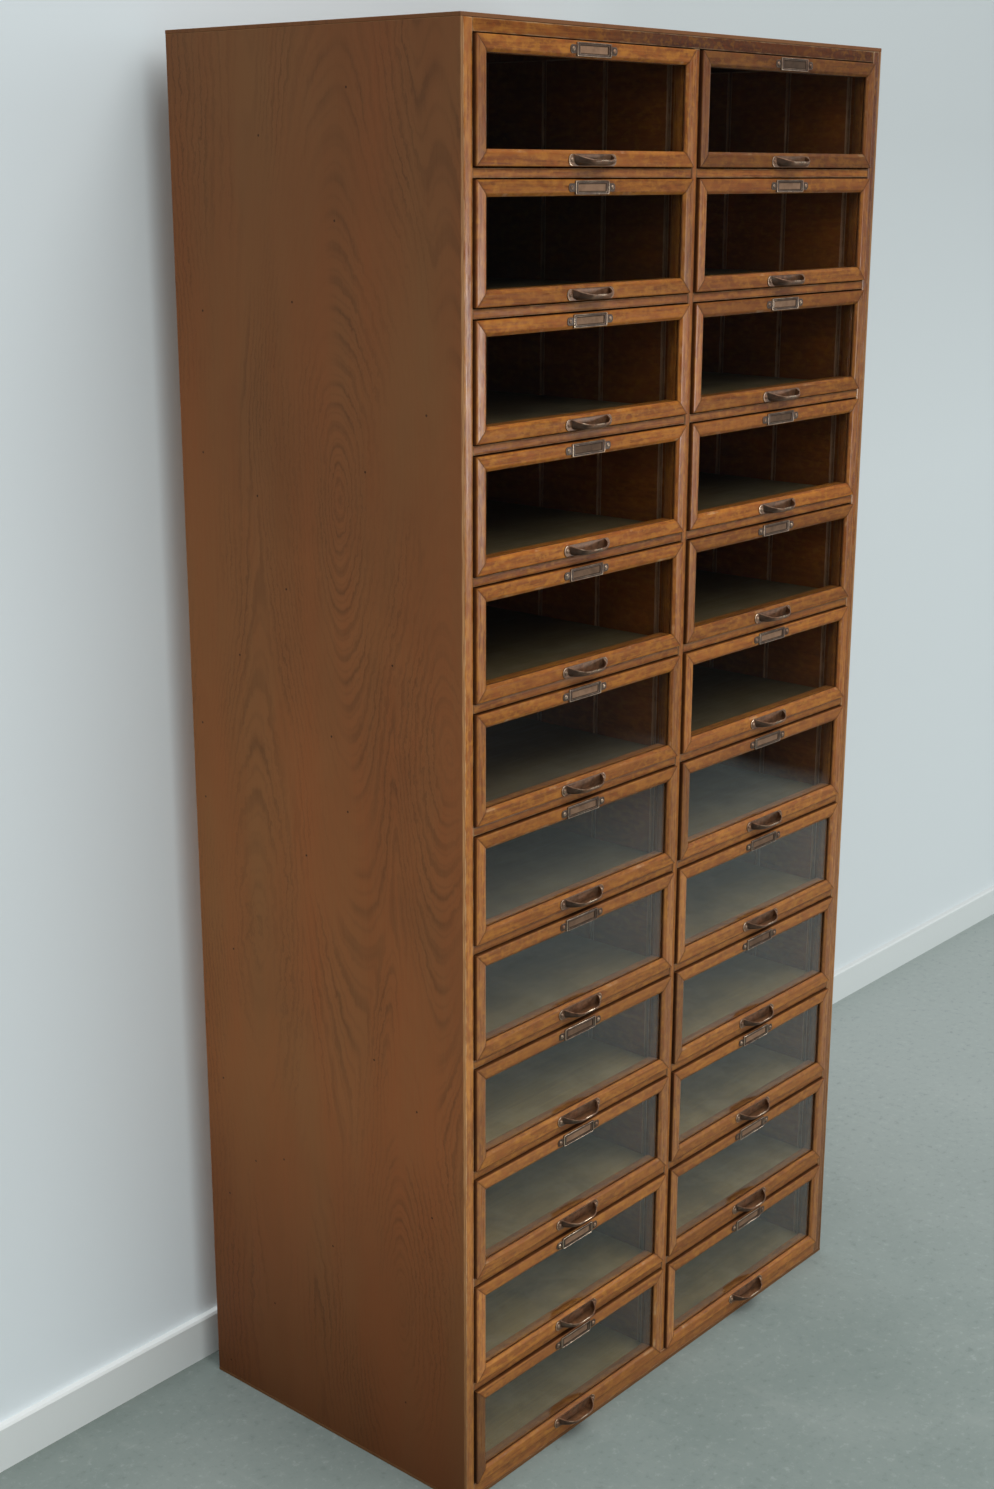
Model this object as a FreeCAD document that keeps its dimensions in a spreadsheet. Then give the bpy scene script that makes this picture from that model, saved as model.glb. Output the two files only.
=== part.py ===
"""Haberdashery cabinet: twenty-four glazed drawers in a plywood carcass with an oak face frame.

Millimetres. X runs across the front, Y from front to back, Z up. The origin is the middle of the
cabinet's underside, so the carcass front lies at minus half the depth. Rows are numbered from the top.
"""
import FreeCAD, Part
import math
import os

import Sketcher

ROWS = 12
COLUMNS = ("left", "right")
DIVIDERS = 4
# the turn of the cup's rounded belly, and the shares of it that its form is lofted through
BELLY_TURN = math.radians(80)
BELLY_SHARES = (1, 0.7, 0.4, 0)

SIZES = {
    # carcass
    "depth": 520,
    "ply_thick": 5,
    "opening_wide": 442.5,
    "opening_high": 152,
    "stile_wide": 16,
    "muntin_wide": 12,
    "cross_rail_high": 12,
    "top_rail_high": 16,
    "bottom_rail_high": 20,
    "face_thick": 20,
    "tenon_long": 5,
    "tenon_shoulder": 2,
    "tenon_thick": 10,
    # runners and stops
    "runner_ledge": 14,
    "guide_high": 25,
    "stop_high": 15,
    "drawer_stop_room": 18,
    "run_gap": 0.3,
    # glazed drawer front
    "front_gap": 1.5,
    "front_proud": 5,
    "member_wide": 20,
    "member_thick": 24,
    "bevel_wide": 3.5,
    "bevel_deep": 2.5,
    "slot_setback": 5.2,
    "slot_wide": 3.4,
    "slot_deep": 5,
    "glass_thick": 3,
    "glass_edge_gap": 1,
    # drawer box
    "side_gap": 1.5,
    "side_thick": 8,
    "side_high": 145,
    "back_thick": 8,
    "back_high": 125,
    "floor_thick": 4,
    "floor_up": 6,
    "floor_bite": 4,
    "divider_first": 16,
    "divider_pitch": 108,
    "divider_wide": 5,
    "divider_deep": 3,
    # cup pull
    "pull_wide": 96,
    "pull_high": 15,
    "pull_up": 0.7,
    "pull_thick": 1.5,
    "pull_screw_span": 84,
    "cup_wide": 76,
    "cup_flat": 22,
    "cup_reach": 21,
    "cup_wall": 1.4,
    "cup_floor_up": 0.5,
    "cup_belly_up": 7,
    "cup_round": 11,
    "cup_rim_back": 14,
    "cup_rim_front": 7,
    # label holder
    "label_wide": 70,
    "label_high": 17.5,
    "label_thick": 1.8,
    "window_wide": 57,
    "window_high": 11,
    "ear_span": 95,
    "ear_high": 11,
    "ear_clip": 3,
    "ear_thick": 0.8,
    "label_screw_span": 82,
    "card_margin": 2,
    "card_thick": 0.4,
    "card_pocket_deep": 0.6,
    # screws
    "screw_head": 6,
    "screw_crown": 3,
    "screw_head_high": 1.6,
    "screw_rim_high": 0.5,
    "screw_shank": 2.6,
    "screw_long": 11,
    "screw_hole": 3,
    "pilot_deep": 12,
}

LEFT_COLUMN = "(-sizes.opening_wide - sizes.muntin_wide / 2)"
RIGHT_COLUMN = "(sizes.muntin_wide / 2)"
FRONT = "(-sizes.depth / 2)"
BEHIND_FACE = "(-sizes.depth / 2 + sizes.face_thick)"
INSIDE_DEEP = "(sizes.depth - sizes.ply_thick)"
HALF_WIDE = "(sizes.ply_thick + sizes.stile_wide + sizes.opening_wide + sizes.muntin_wide / 2)"
ROW_PITCH = "(sizes.opening_high + sizes.cross_rail_high)"
LEDGE_X = {
    "left_outer": LEFT_COLUMN,
    "left_inner": "(-sizes.muntin_wide / 2 - sizes.runner_ledge)",
    "right_inner": RIGHT_COLUMN,
    "right_outer": f"({RIGHT_COLUMN} + sizes.opening_wide - sizes.runner_ledge)",
}
GUIDE_X = {
    "left": f"({LEFT_COLUMN} - sizes.stile_wide)",
    "right": f"({RIGHT_COLUMN} + sizes.opening_wide)",
}
FACE_HIGH = (
    f"(sizes.bottom_rail_high + {ROWS} * sizes.opening_high"
    f" + {ROWS - 1} * sizes.cross_rail_high + sizes.top_rail_high)"
)
FRAME_WIDE = "(sizes.opening_wide - 2 * sizes.front_gap)"
FRAME_HIGH = "(sizes.opening_high - 2 * sizes.front_gap)"
BOX_FRONT = "(sizes.member_thick - sizes.front_proud)"
BOX_BACK = f"({INSIDE_DEEP} - sizes.drawer_stop_room)"

doc = FreeCAD.newDocument("haberdashery_cabinet")
sizes = doc.addObject("Spreadsheet::Sheet", "sizes")
for line, (alias, number) in enumerate(SIZES.items(), start=1):
    sizes.set(f"A{line}", alias)
    sizes.set(f"B{line}", str(number))
    sizes.setAlias(f"B{line}", alias)
doc.recompute()

sub_parts = []


def row_floor(row):
    """Height of the bottom of a row's openings."""
    return f"(sizes.ply_thick + sizes.bottom_rail_high + {ROWS - row} * {ROW_PITCH})"


def value(expression):
    """An expression's number at the present sizes."""
    return float(sizes.evalExpression(expression))


def place(piece, x="0", y="0", z="0"):
    """Tie a piece's place to the sizes."""
    for axis, expression in (("x", x), ("y", y), ("z", z)):
        piece.setExpression(f"Placement.Base.{axis}", expression)
    return piece


def keep(piece, label):
    """Count a piece as a sub-part that gets a file of its own."""
    piece.Label = label
    sub_parts.append(piece)
    return piece


def box(name, long, deep, high, x="0", y="0", z="0"):
    """A plain board."""
    board = doc.addObject("Part::Box", name)
    board.setExpression("Length", long)
    board.setExpression("Width", deep)
    board.setExpression("Height", high)
    return place(board, x, y, z)


def fused(name, first, second):
    """Two solids made one."""
    whole = doc.addObject("Part::Fuse", name)
    whole.Base = first
    whole.Tool = second
    return whole


def cut(name, base, tool):
    """A solid with the room for another taken out."""
    rest = doc.addObject("Part::Cut", name)
    rest.Base = base
    rest.Tool = tool
    return rest


def together(name, pieces, x="0", y="0", z="0"):
    """Separate solids that share a place."""
    group = doc.addObject("Part::Compound", name)
    group.Links = pieces
    return place(group, x, y, z)


def sketch_on(body, name, role):
    """An empty sketch on one of a body's own origin planes."""
    plane = next(item for item in body.Origin.OriginFeatures if item.Role == role)
    sketch = body.newObject("Sketcher::SketchObject", name)
    sketch.AttachmentSupport = [(plane, "")]
    sketch.MapMode = "FlatFace"
    return sketch


def tie(sketch, kind, geometry, point, expression):
    """Hold one measure of a sketch at an expression."""
    if kind in ("DistanceX", "DistanceY"):
        rule = Sketcher.Constraint(kind, -1, 1, geometry, point, value(expression))
    else:
        rule = Sketcher.Constraint(kind, geometry, value(expression))
    index = sketch.addConstraint(rule)
    sketch.setExpression(f"Constraints[{index}]", expression)


def polygon(sketch, corners):
    """A closed outline with every corner tied to the sizes."""
    first = sketch.GeometryCount
    count = len(corners)
    points = [FreeCAD.Vector(value(x), value(y), 0) for x, y in corners]
    for start, end in zip(points, points[1:] + points[:1]):
        sketch.addGeometry(Part.LineSegment(start, end))
    for side in range(count):
        following = (side + 1) % count
        sketch.addConstraint(
            Sketcher.Constraint("Coincident", first + side, 2, first + following, 1)
        )
        x, y = corners[side]
        tie(sketch, "DistanceX", first + side, 1, x)
        tie(sketch, "DistanceY", first + side, 1, y)
    return sketch


def rectangle(sketch, low_x, low_y, high_x, high_y):
    """A closed rectangle."""
    return polygon(
        sketch, [(low_x, low_y), (high_x, low_y), (high_x, high_y), (low_x, high_y)]
    )


def circle(sketch, x, y, across):
    """A circle of a given diameter."""
    centre = FreeCAD.Vector(value(x), value(y), 0)
    round_edge = Part.Circle(centre, FreeCAD.Vector(0, 0, 1), value(across) / 2)
    index = sketch.addGeometry(round_edge)
    tie(sketch, "DistanceX", index, 3, x)
    tie(sketch, "DistanceY", index, 3, y)
    tie(sketch, "Diameter", index, 0, across)
    return sketch


def pad(body, name, sketch, long, backwards=False):
    """Grow a body from a sketch."""
    feature = body.newObject("PartDesign::Pad", name)
    feature.Profile = sketch
    feature.Reversed = backwards
    feature.setExpression("Length", long)
    return feature


def pocket(body, name, sketch, deep=None, other_way=False):
    """Take a sketch's outline out of a body, right through or to a depth, and see that it cuts."""
    doc.recompute()
    before = body.Shape.Volume
    feature = body.newObject("PartDesign::Pocket", name)
    feature.Profile = sketch
    feature.Reversed = other_way
    if deep is None:
        feature.Type = "ThroughAll"
    else:
        feature.setExpression("Length", deep)
    doc.recompute()
    if body.Shape.Volume >= before:
        raise RuntimeError(f"{name} takes nothing out of {body.Name}")
    return feature


# ---------------------------------------------------------------- carcass


def flat_panels():
    """The plywood skins: two sides, top, base and back."""
    wide = f"(2 * {HALF_WIDE})"
    for side, x in (("left", f"-{HALF_WIDE}"), ("right", f"({HALF_WIDE} - sizes.ply_thick)")):
        panel = box(
            f"side_panel_{side}", "sizes.ply_thick", "sizes.depth", FACE_HIGH,
            x, FRONT, "sizes.ply_thick",
        )
        keep(panel, f"side_panel_{side}")
    for name, z in (("base_panel", "0"), ("top_panel", f"(sizes.ply_thick + {FACE_HIGH})")):
        panel = box(name, wide, "sizes.depth", "sizes.ply_thick", f"-{HALF_WIDE}", FRONT, z)
        keep(panel, name)
    back = box(
        "back_panel", f"({wide} - 2 * sizes.ply_thick)", "sizes.ply_thick", FACE_HIGH,
        f"(-{HALF_WIDE} + sizes.ply_thick)", "(sizes.depth / 2 - sizes.ply_thick)", "sizes.ply_thick",
    )
    keep(back, "back_panel")


def tenoned_rail(name, long, high, x, z):
    """A rail of the face frame with a stub tenon at each end."""
    bar = box(f"{name}_bar", long, "sizes.face_thick", high, x, FRONT, z)
    tenon = box(
        f"{name}_tenons",
        f"({long} + 2 * sizes.tenon_long)",
        "sizes.tenon_thick",
        f"({high} - 2 * sizes.tenon_shoulder)",
        f"({x} - sizes.tenon_long)",
        f"({FRONT} + (sizes.face_thick - sizes.tenon_thick) / 2)",
        f"({z} + sizes.tenon_shoulder)",
    )
    return fused(name, bar, tenon)


def face_frame():
    """Stiles, muntin and rails, tenoned together, as seen between the drawers."""
    between = "(2 * sizes.opening_wide + sizes.muntin_wide)"
    bottom = tenoned_rail(
        "bottom_rail", between, "sizes.bottom_rail_high", LEFT_COLUMN, "sizes.ply_thick"
    )
    top = tenoned_rail(
        "top_rail", between, "sizes.top_rail_high", LEFT_COLUMN,
        f"(sizes.ply_thick + {FACE_HIGH} - sizes.top_rail_high)",
    )
    keep(bottom, "bottom_rail")
    keep(top, "top_rail")

    lowest = "(sizes.ply_thick + sizes.bottom_rail_high + sizes.opening_high)"
    pair = [
        tenoned_rail(f"cross_rail_{side}", "sizes.opening_wide", "sizes.cross_rail_high", x, lowest)
        for side, x in zip(COLUMNS, (LEFT_COLUMN, RIGHT_COLUMN))
    ]
    rows = [
        together(f"cross_rails_{row:02d}", pair, z=f"({ROWS - 1 - row} * {ROW_PITCH})")
        for row in range(1, ROWS)
    ]
    cross_rails = keep(together("cross_rails", rows), "cross_rails")
    rails = together("rails_and_tenons", [bottom, top, cross_rails])

    stiles = [
        cut(
            f"stile_{side}",
            box(f"stile_{side}_bar", "sizes.stile_wide", "sizes.face_thick", FACE_HIGH,
                GUIDE_X[side], FRONT, "sizes.ply_thick"),
            rails,
        )
        for side in COLUMNS
    ]
    keep(together("front_stiles", stiles), "front_stiles")
    muntin_bar = box(
        "centre_muntin_bar", "sizes.muntin_wide", "sizes.face_thick",
        f"({FACE_HIGH} - sizes.bottom_rail_high - sizes.top_rail_high)",
        "(-sizes.muntin_wide / 2)", FRONT, "(sizes.ply_thick + sizes.bottom_rail_high)",
    )
    keep(cut("centre_muntin", muntin_bar, cross_rails), "centre_muntin")


def centre_partition():
    """The upright board behind the muntin that carries the inner runners."""
    board = box(
        "centre_partition", "sizes.muntin_wide", f"({INSIDE_DEEP} - sizes.face_thick)", FACE_HIGH,
        "(-sizes.muntin_wide / 2)", BEHIND_FACE, "sizes.ply_thick",
    )
    keep(board, "centre_partition")


def drawer_runners():
    """Each row's runners, side guides and stop blocks, glued to the side panels and the partition."""
    behind = f"({INSIDE_DEEP} - sizes.face_thick)"
    under = f"({row_floor(ROWS)} - sizes.cross_rail_high)"
    runner_x = {"left": GUIDE_X["left"], "right": LEDGE_X["right_outer"]}
    stop_deep = "(sizes.drawer_stop_room - sizes.run_gap)"
    pieces = []
    for side in COLUMNS:
        pieces.append(box(
            f"outer_runner_{side}", "(sizes.stile_wide + sizes.runner_ledge)", behind,
            "sizes.cross_rail_high", runner_x[side], BEHIND_FACE, under,
        ))
        pieces.append(box(
            f"inner_runner_{side}", "sizes.runner_ledge", behind,
            "sizes.cross_rail_high", LEDGE_X[f"{side}_inner"], BEHIND_FACE, under,
        ))
        pieces.append(box(
            f"side_guide_{side}", "sizes.stile_wide", behind,
            "sizes.guide_high", GUIDE_X[side], BEHIND_FACE, row_floor(ROWS),
        ))
        for where in ("inner", "outer"):
            pieces.append(box(
                f"{where}_stop_{side}", "sizes.runner_ledge", stop_deep, "sizes.stop_high",
                LEDGE_X[f"{side}_{where}"],
                f"(sizes.depth / 2 - sizes.ply_thick - {stop_deep})", row_floor(ROWS),
            ))
    rows = [
        together(f"runners_{row:02d}", pieces, z=f"({ROWS - row} * {ROW_PITCH})")
        for row in range(1, ROWS + 1)
    ]
    keep(together("drawer_runners", rows), "drawer_runners")


# ---------------------------------------------------------------- one drawer, in its opening
# The drawer's own corner is the lower left front corner of its opening.


def mitred_member(name, long, turn, x, z, screw_span=None, screw_up=None):
    """One side of the drawer's glazed frame: bevelled, slotted for the glass, mitred at both ends."""
    body = doc.addObject("PartDesign::Body", name)
    inner = "sizes.member_wide"
    slot_back = "(sizes.slot_setback + sizes.slot_wide)"
    slot_foot = "(sizes.member_wide - sizes.slot_deep)"
    section = sketch_on(body, f"{name}_section", "YZ_Plane")
    polygon(section, [
        ("0", "0"),
        ("sizes.member_thick", "0"),
        ("sizes.member_thick", inner),
        (slot_back, inner),
        (slot_back, slot_foot),
        ("sizes.slot_setback", slot_foot),
        ("sizes.slot_setback", inner),
        ("sizes.bevel_deep", inner),
        ("0", "(sizes.member_wide - sizes.bevel_wide)"),
    ])
    pad(body, f"{name}_length", section, long)
    mitres = sketch_on(body, f"{name}_mitre_lines", "XZ_Plane")
    polygon(mitres, [("0", "0"), (inner, inner), ("0", inner)])
    polygon(mitres, [(long, "0"), (long, inner), (f"({long} - {inner})", inner)])
    pocket(body, f"{name}_mitres", mitres)
    if screw_span is not None:
        pilots = sketch_on(body, f"{name}_pilot_places", "XZ_Plane")
        for sign in ("-", "+"):
            circle(pilots, f"({long} / 2 {sign} {screw_span} / 2)", screw_up, "sizes.screw_hole")
        pocket(body, f"{name}_pilots", pilots, "sizes.pilot_deep")
    body.Placement.Rotation = FreeCAD.Rotation(FreeCAD.Vector(0, 1, 0), turn)
    return place(body, x, "(-sizes.front_proud)", z)


def drawer_frame():
    """The four mitred members around the glass."""
    far_x = "(sizes.opening_wide - sizes.front_gap)"
    far_z = "(sizes.opening_high - sizes.front_gap)"
    near = "sizes.front_gap"
    return [
        mitred_member("frame_bottom", FRAME_WIDE, 0, near, near,
                      "sizes.pull_screw_span", "(sizes.pull_up + sizes.pull_high / 2)"),
        mitred_member("frame_top", FRAME_WIDE, 180, far_x, far_z,
                      "sizes.label_screw_span", "(sizes.member_wide / 2)"),
        mitred_member("frame_left", FRAME_HIGH, 90, near, far_z),
        mitred_member("frame_right", FRAME_HIGH, -90, far_x, near),
    ]


def box_side(side):
    """A drawer side with upright grooves for thin dividers and a long groove for the floor."""
    body = doc.addObject("PartDesign::Body", f"box_side_{side}")
    long = f"({BOX_BACK} - {BOX_FRONT})"
    outline = rectangle(
        sketch_on(body, f"box_side_{side}_outline", "YZ_Plane"), "0", "0", long, "sizes.side_high"
    )
    pad(body, f"box_side_{side}_thickness", outline, "sizes.side_thick", side == "left")
    # the outline lies in the inner face, and the grooves are cut from there
    outwards = side == "right"
    grooves = sketch_on(body, f"box_side_{side}_groove", "YZ_Plane")
    low = "sizes.divider_first - sizes.divider_wide / 2"
    rectangle(grooves, f"({low})", "(sizes.floor_up + sizes.floor_thick)",
              f"({low} + sizes.divider_wide)", "sizes.side_high")
    cutter = pocket(body, f"box_side_{side}_divider", grooves, "sizes.divider_deep", outwards)
    pattern = body.newObject("PartDesign::LinearPattern", f"box_side_{side}_dividers")
    pattern.Originals = [cutter]
    pattern.Direction = (outline, ["H_Axis"])
    pattern.setExpression("Length", f"{DIVIDERS - 1} * sizes.divider_pitch")
    pattern.Occurrences = DIVIDERS
    body.Tip = pattern
    slot = sketch_on(body, f"box_side_{side}_floor_line", "YZ_Plane")
    rectangle(slot, "0", "sizes.floor_up", long, "(sizes.floor_up + sizes.floor_thick)")
    pocket(body, f"box_side_{side}_floor_groove", slot, "sizes.floor_bite", outwards)
    x = {
        "left": "(sizes.side_gap + sizes.side_thick)",
        "right": "(sizes.opening_wide - sizes.side_gap - sizes.side_thick)",
    }
    return place(body, x[side], BOX_FRONT, "sizes.run_gap")


def drawer_box():
    """The open box behind the glazed frame."""
    inside_wide = "(sizes.opening_wide - 2 * sizes.side_gap - 2 * sizes.side_thick)"
    inside_x = "(sizes.side_gap + sizes.side_thick)"
    floor_z = "(sizes.run_gap + sizes.floor_up)"
    floor = box(
        "box_floor", f"({inside_wide} + 2 * sizes.floor_bite)", f"({BOX_BACK} - {BOX_FRONT})",
        "sizes.floor_thick",
        f"({inside_x} - sizes.floor_bite)", BOX_FRONT, floor_z,
    )
    back = box(
        "box_back", inside_wide, "sizes.back_thick", "sizes.back_high",
        inside_x, f"({BOX_BACK} - sizes.back_thick)", f"({floor_z} + sizes.floor_thick)",
    )
    return [box_side(side) for side in COLUMNS] + [floor, back]


def glass_pane():
    """The pane, held in the slot that runs round the frame."""
    edge = "(sizes.front_gap + sizes.member_wide - sizes.slot_deep + sizes.glass_edge_gap)"
    return box(
        "glass_pane",
        f"(sizes.opening_wide - 2 * {edge})",
        "sizes.glass_thick",
        f"(sizes.opening_high - 2 * {edge})",
        edge,
        "(-sizes.front_proud + sizes.slot_setback + (sizes.slot_wide - sizes.glass_thick) / 2)",
        edge,
    )


def cup_plan(half, flat, front, back, level):
    """The cup's outline at one height: a flat front, an arc to each side, closed along the plate."""
    reach = front - back
    radius = ((half - flat) ** 2 + reach ** 2) / (2 * reach)
    middle = math.atan2(half - flat, radius - reach) / 2
    centre_y = radius - front

    def at(x, y):
        return FreeCAD.Vector(x, y, level)

    bulge_x = flat + radius * math.sin(middle)
    bulge_y = centre_y - radius * math.cos(middle)
    edges = [
        Part.LineSegment(at(-half, -back), at(half, -back)),
        Part.Arc(at(half, -back), at(bulge_x, bulge_y), at(flat, -front)),
        Part.LineSegment(at(flat, -front), at(-flat, -front)),
        Part.Arc(at(-flat, -front), at(-bulge_x, bulge_y), at(-half, -back)),
    ]
    return Part.Wire([edge.toShape() for edge in edges])


def cup_form(shrink, back, floor, top):
    """A solid of the cup's outer form, taken in all round by a wall's thickness."""
    half = sizes.get("cup_wide") / 2 - shrink
    flat = sizes.get("cup_flat") / 2
    front = sizes.get("cup_reach") - shrink
    belly = sizes.get("cup_belly_up")
    rounding = sizes.get("cup_round")
    plans = []
    for share in BELLY_SHARES:
        angle = share * BELLY_TURN
        inset = rounding * (1 - math.cos(angle))
        level = belly - (belly - floor) * math.sin(angle) / math.sin(BELLY_TURN)
        plans.append(cup_plan(half - inset, flat, front - inset, back, level))
    lower = Part.makeLoft(plans, True)
    upper = Part.Face(cup_plan(half, flat, front, back, belly))
    return lower.fuse(upper.extrude(FreeCAD.Vector(0, 0, top - belly)))


def cup_pull():
    """A pressed cup pull, open at the top, on a plate with rounded ends."""
    wide = sizes.get("pull_wide")
    high = sizes.get("pull_high")
    thick = sizes.get("pull_thick")
    reach = sizes.get("cup_reach")
    wall = sizes.get("cup_wall")
    floor = sizes.get("cup_floor_up")
    rim_back = sizes.get("cup_rim_back")
    rim_front = sizes.get("cup_rim_front")
    end = high / 2
    into_wood = FreeCAD.Vector(0, 1, 0)

    plate = Part.makeBox(wide - high, thick, high, FreeCAD.Vector(-wide / 2 + end, -thick, 0))
    for x in (-wide / 2 + end, wide / 2 - end):
        plate = plate.fuse(Part.makeCylinder(end, thick, FreeCAD.Vector(x, -thick, end), into_wood))
    outer = cup_form(0, 0, floor, rim_back)
    hollow = cup_form(wall, thick, floor + wall, 2 * high)
    shape = plate.fuse(outer.cut(hollow)).removeSplitter()

    # everything in front of the plate and above the sloping rim is taken off
    slope = (rim_back - rim_front) / (reach - thick)
    beyond = 2 * reach
    rim = [
        (-thick, rim_back),
        (-beyond, rim_back - slope * (beyond - thick)),
        (-beyond, 2 * high),
        (-thick, 2 * high),
    ]
    corners = [FreeCAD.Vector(-wide, y, z) for y, z in rim]
    above = Part.Face(Part.makePolygon(corners + corners[:1]))
    shape = shape.cut(above.extrude(FreeCAD.Vector(2 * wide, 0, 0)))
    for sign in (-1, 1):
        place_x = sign * sizes.get("pull_screw_span") / 2
        hole = Part.makeCylinder(
            sizes.get("screw_hole") / 2, thick, FreeCAD.Vector(place_x, -thick, end), into_wood
        )
        shape = shape.cut(hole)

    pull = doc.addObject("Part::Feature", "cup_pull")
    pull.Shape = shape
    return place(
        pull, "(sizes.opening_wide / 2)", "(-sizes.front_proud)", "(sizes.front_gap + sizes.pull_up)"
    )


def centred(sketch, wide, high, clip=None):
    """A rectangle about the sketch's origin, its corners clipped if a size is given."""
    if clip is None:
        return rectangle(
            sketch, f"(-{wide} / 2)", f"(-{high} / 2)", f"({wide} / 2)", f"({high} / 2)"
        )
    corners = []
    for across, up, order in ((1, -1, 1), (1, 1, -1), (-1, 1, 1), (-1, -1, -1)):
        near_end = (f"({across} * ({wide} / 2 - {clip}))", f"({up} * {high} / 2)")
        near_side = (f"({across} * {wide} / 2)", f"({up} * ({high} / 2 - {clip}))")
        corners += [near_end, near_side][::order]
    return polygon(sketch, corners)


def label_holder():
    """A stamped label frame: a raised rim round a window, an ear for a screw at each end."""
    body = doc.addObject("PartDesign::Body", "label_holder")
    rim = centred(sketch_on(body, "label_rim", "XZ_Plane"), "sizes.label_wide", "sizes.label_high")
    pad(body, "label_rim_height", rim, "sizes.label_thick")
    ears = centred(
        sketch_on(body, "label_ears", "XZ_Plane"), "sizes.ear_span", "sizes.ear_high", "sizes.ear_clip"
    )
    pad(body, "label_ear_thickness", ears, "sizes.ear_thick")
    window = centred(
        sketch_on(body, "label_window", "XZ_Plane"), "sizes.window_wide", "sizes.window_high"
    )
    pocket(body, "label_window_cut", window, "sizes.label_thick", True)
    recess = centred(
        sketch_on(body, "card_recess", "XZ_Plane"),
        "(sizes.window_wide + 2 * sizes.card_margin)",
        "(sizes.window_high + 2 * sizes.card_margin)",
    )
    pocket(body, "card_recess_cut", recess, "sizes.card_pocket_deep", True)
    holes = sketch_on(body, "label_screw_places", "XZ_Plane")
    for sign in ("-", ""):
        circle(holes, f"({sign}1 * sizes.label_screw_span / 2)", "0", "sizes.screw_hole")
    pocket(body, "label_screw_holes", holes, "sizes.ear_thick", True)
    return place(
        body, "(sizes.opening_wide / 2)", "(-sizes.front_proud)",
        "(sizes.opening_high - sizes.front_gap - sizes.member_wide / 2)",
    )


def label_card():
    """A blank card behind the label holder's window."""
    wide = "(sizes.window_wide + sizes.card_margin)"
    high = "(sizes.window_high + sizes.card_margin)"
    return box(
        "label_card", wide, "sizes.card_thick", high,
        f"(sizes.opening_wide / 2 - {wide} / 2)",
        "(-sizes.front_proud - sizes.card_thick)",
        f"(sizes.opening_high - sizes.front_gap - sizes.member_wide / 2 - {high} / 2)",
    )


def screw(name, x, seat, z):
    """A round-headed wood screw, its axis along Y and its head's seat at the origin."""
    body = doc.addObject("PartDesign::Body", name)
    section = sketch_on(body, f"{name}_section", "XY_Plane")
    head = "(sizes.screw_head / 2)"
    shank = "(sizes.screw_shank / 2)"
    polygon(section, [
        ("0", "(-sizes.screw_head_high)"),
        ("(sizes.screw_crown / 2)", "(-sizes.screw_head_high)"),
        (head, "(-sizes.screw_rim_high)"),
        (head, "0"),
        (shank, "0"),
        (shank, "sizes.screw_long"),
        ("0", "sizes.screw_long"),
    ])
    turned = body.newObject("PartDesign::Revolution", f"{name}_turned")
    turned.Profile = section
    turned.ReferenceAxis = (section, ["V_Axis"])
    turned.Angle = 360
    return place(body, x, f"(-sizes.front_proud - {seat})", z)


def fitting_screws():
    """Two screws for the pull and two for the label holder."""
    rows = (
        ("pull", "sizes.pull_thick", "(sizes.front_gap + sizes.pull_up + sizes.pull_high / 2)"),
        ("label", "sizes.ear_thick",
         "(sizes.opening_high - sizes.front_gap - sizes.member_wide / 2)"),
    )
    screws = []
    for what, seat, z in rows:
        for side, sign in (("left", "-"), ("right", "+")):
            x = f"(sizes.opening_wide / 2 {sign} sizes.{what}_screw_span / 2)"
            screws.append(screw(f"{what}_screw_{side}", x, seat, z))
    return screws


def drawers():
    """Every drawer as its joinery and its front fittings, one pair to an opening."""
    joinery = drawer_frame() + drawer_box()
    fittings = [glass_pane(), cup_pull(), label_holder(), label_card()] + fitting_screws()
    for side, x in zip(COLUMNS, (LEFT_COLUMN, RIGHT_COLUMN)):
        for row in range(1, ROWS + 1):
            for kind, pieces in (("drawer", joinery), ("fittings", fittings)):
                name = f"{kind}_{side}_{row:02d}"
                keep(together(name, pieces, x, FRONT, row_floor(row)), name)


def check_everything():
    """Stop if any object failed or any sub-part has no sound shape."""
    for item in doc.Objects:
        if "Invalid" in item.State or "Error" in item.State:
            raise RuntimeError(f"{item.Name} failed: {item.State}")
    for piece in sub_parts:
        if piece.Shape.isNull() or not piece.Shape.isValid():
            raise RuntimeError(f"{piece.Label} has no sound shape")


def write_parts():
    """One STEP file for each sub-part."""
    os.makedirs("parts", exist_ok=True)
    for piece in sub_parts:
        solids = Part.makeCompound(piece.Shape.Solids)
        solids.exportStep(f"parts/{piece.Label}.step")
    print(f"{len(sub_parts)} sub-parts written")


flat_panels()
face_frame()
centre_partition()
drawer_runners()
drawers()
doc.recompute()
check_everything()
write_parts()
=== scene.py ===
import math
import random

import bmesh
import bpy
from mathutils import Matrix, Vector, noise


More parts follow.
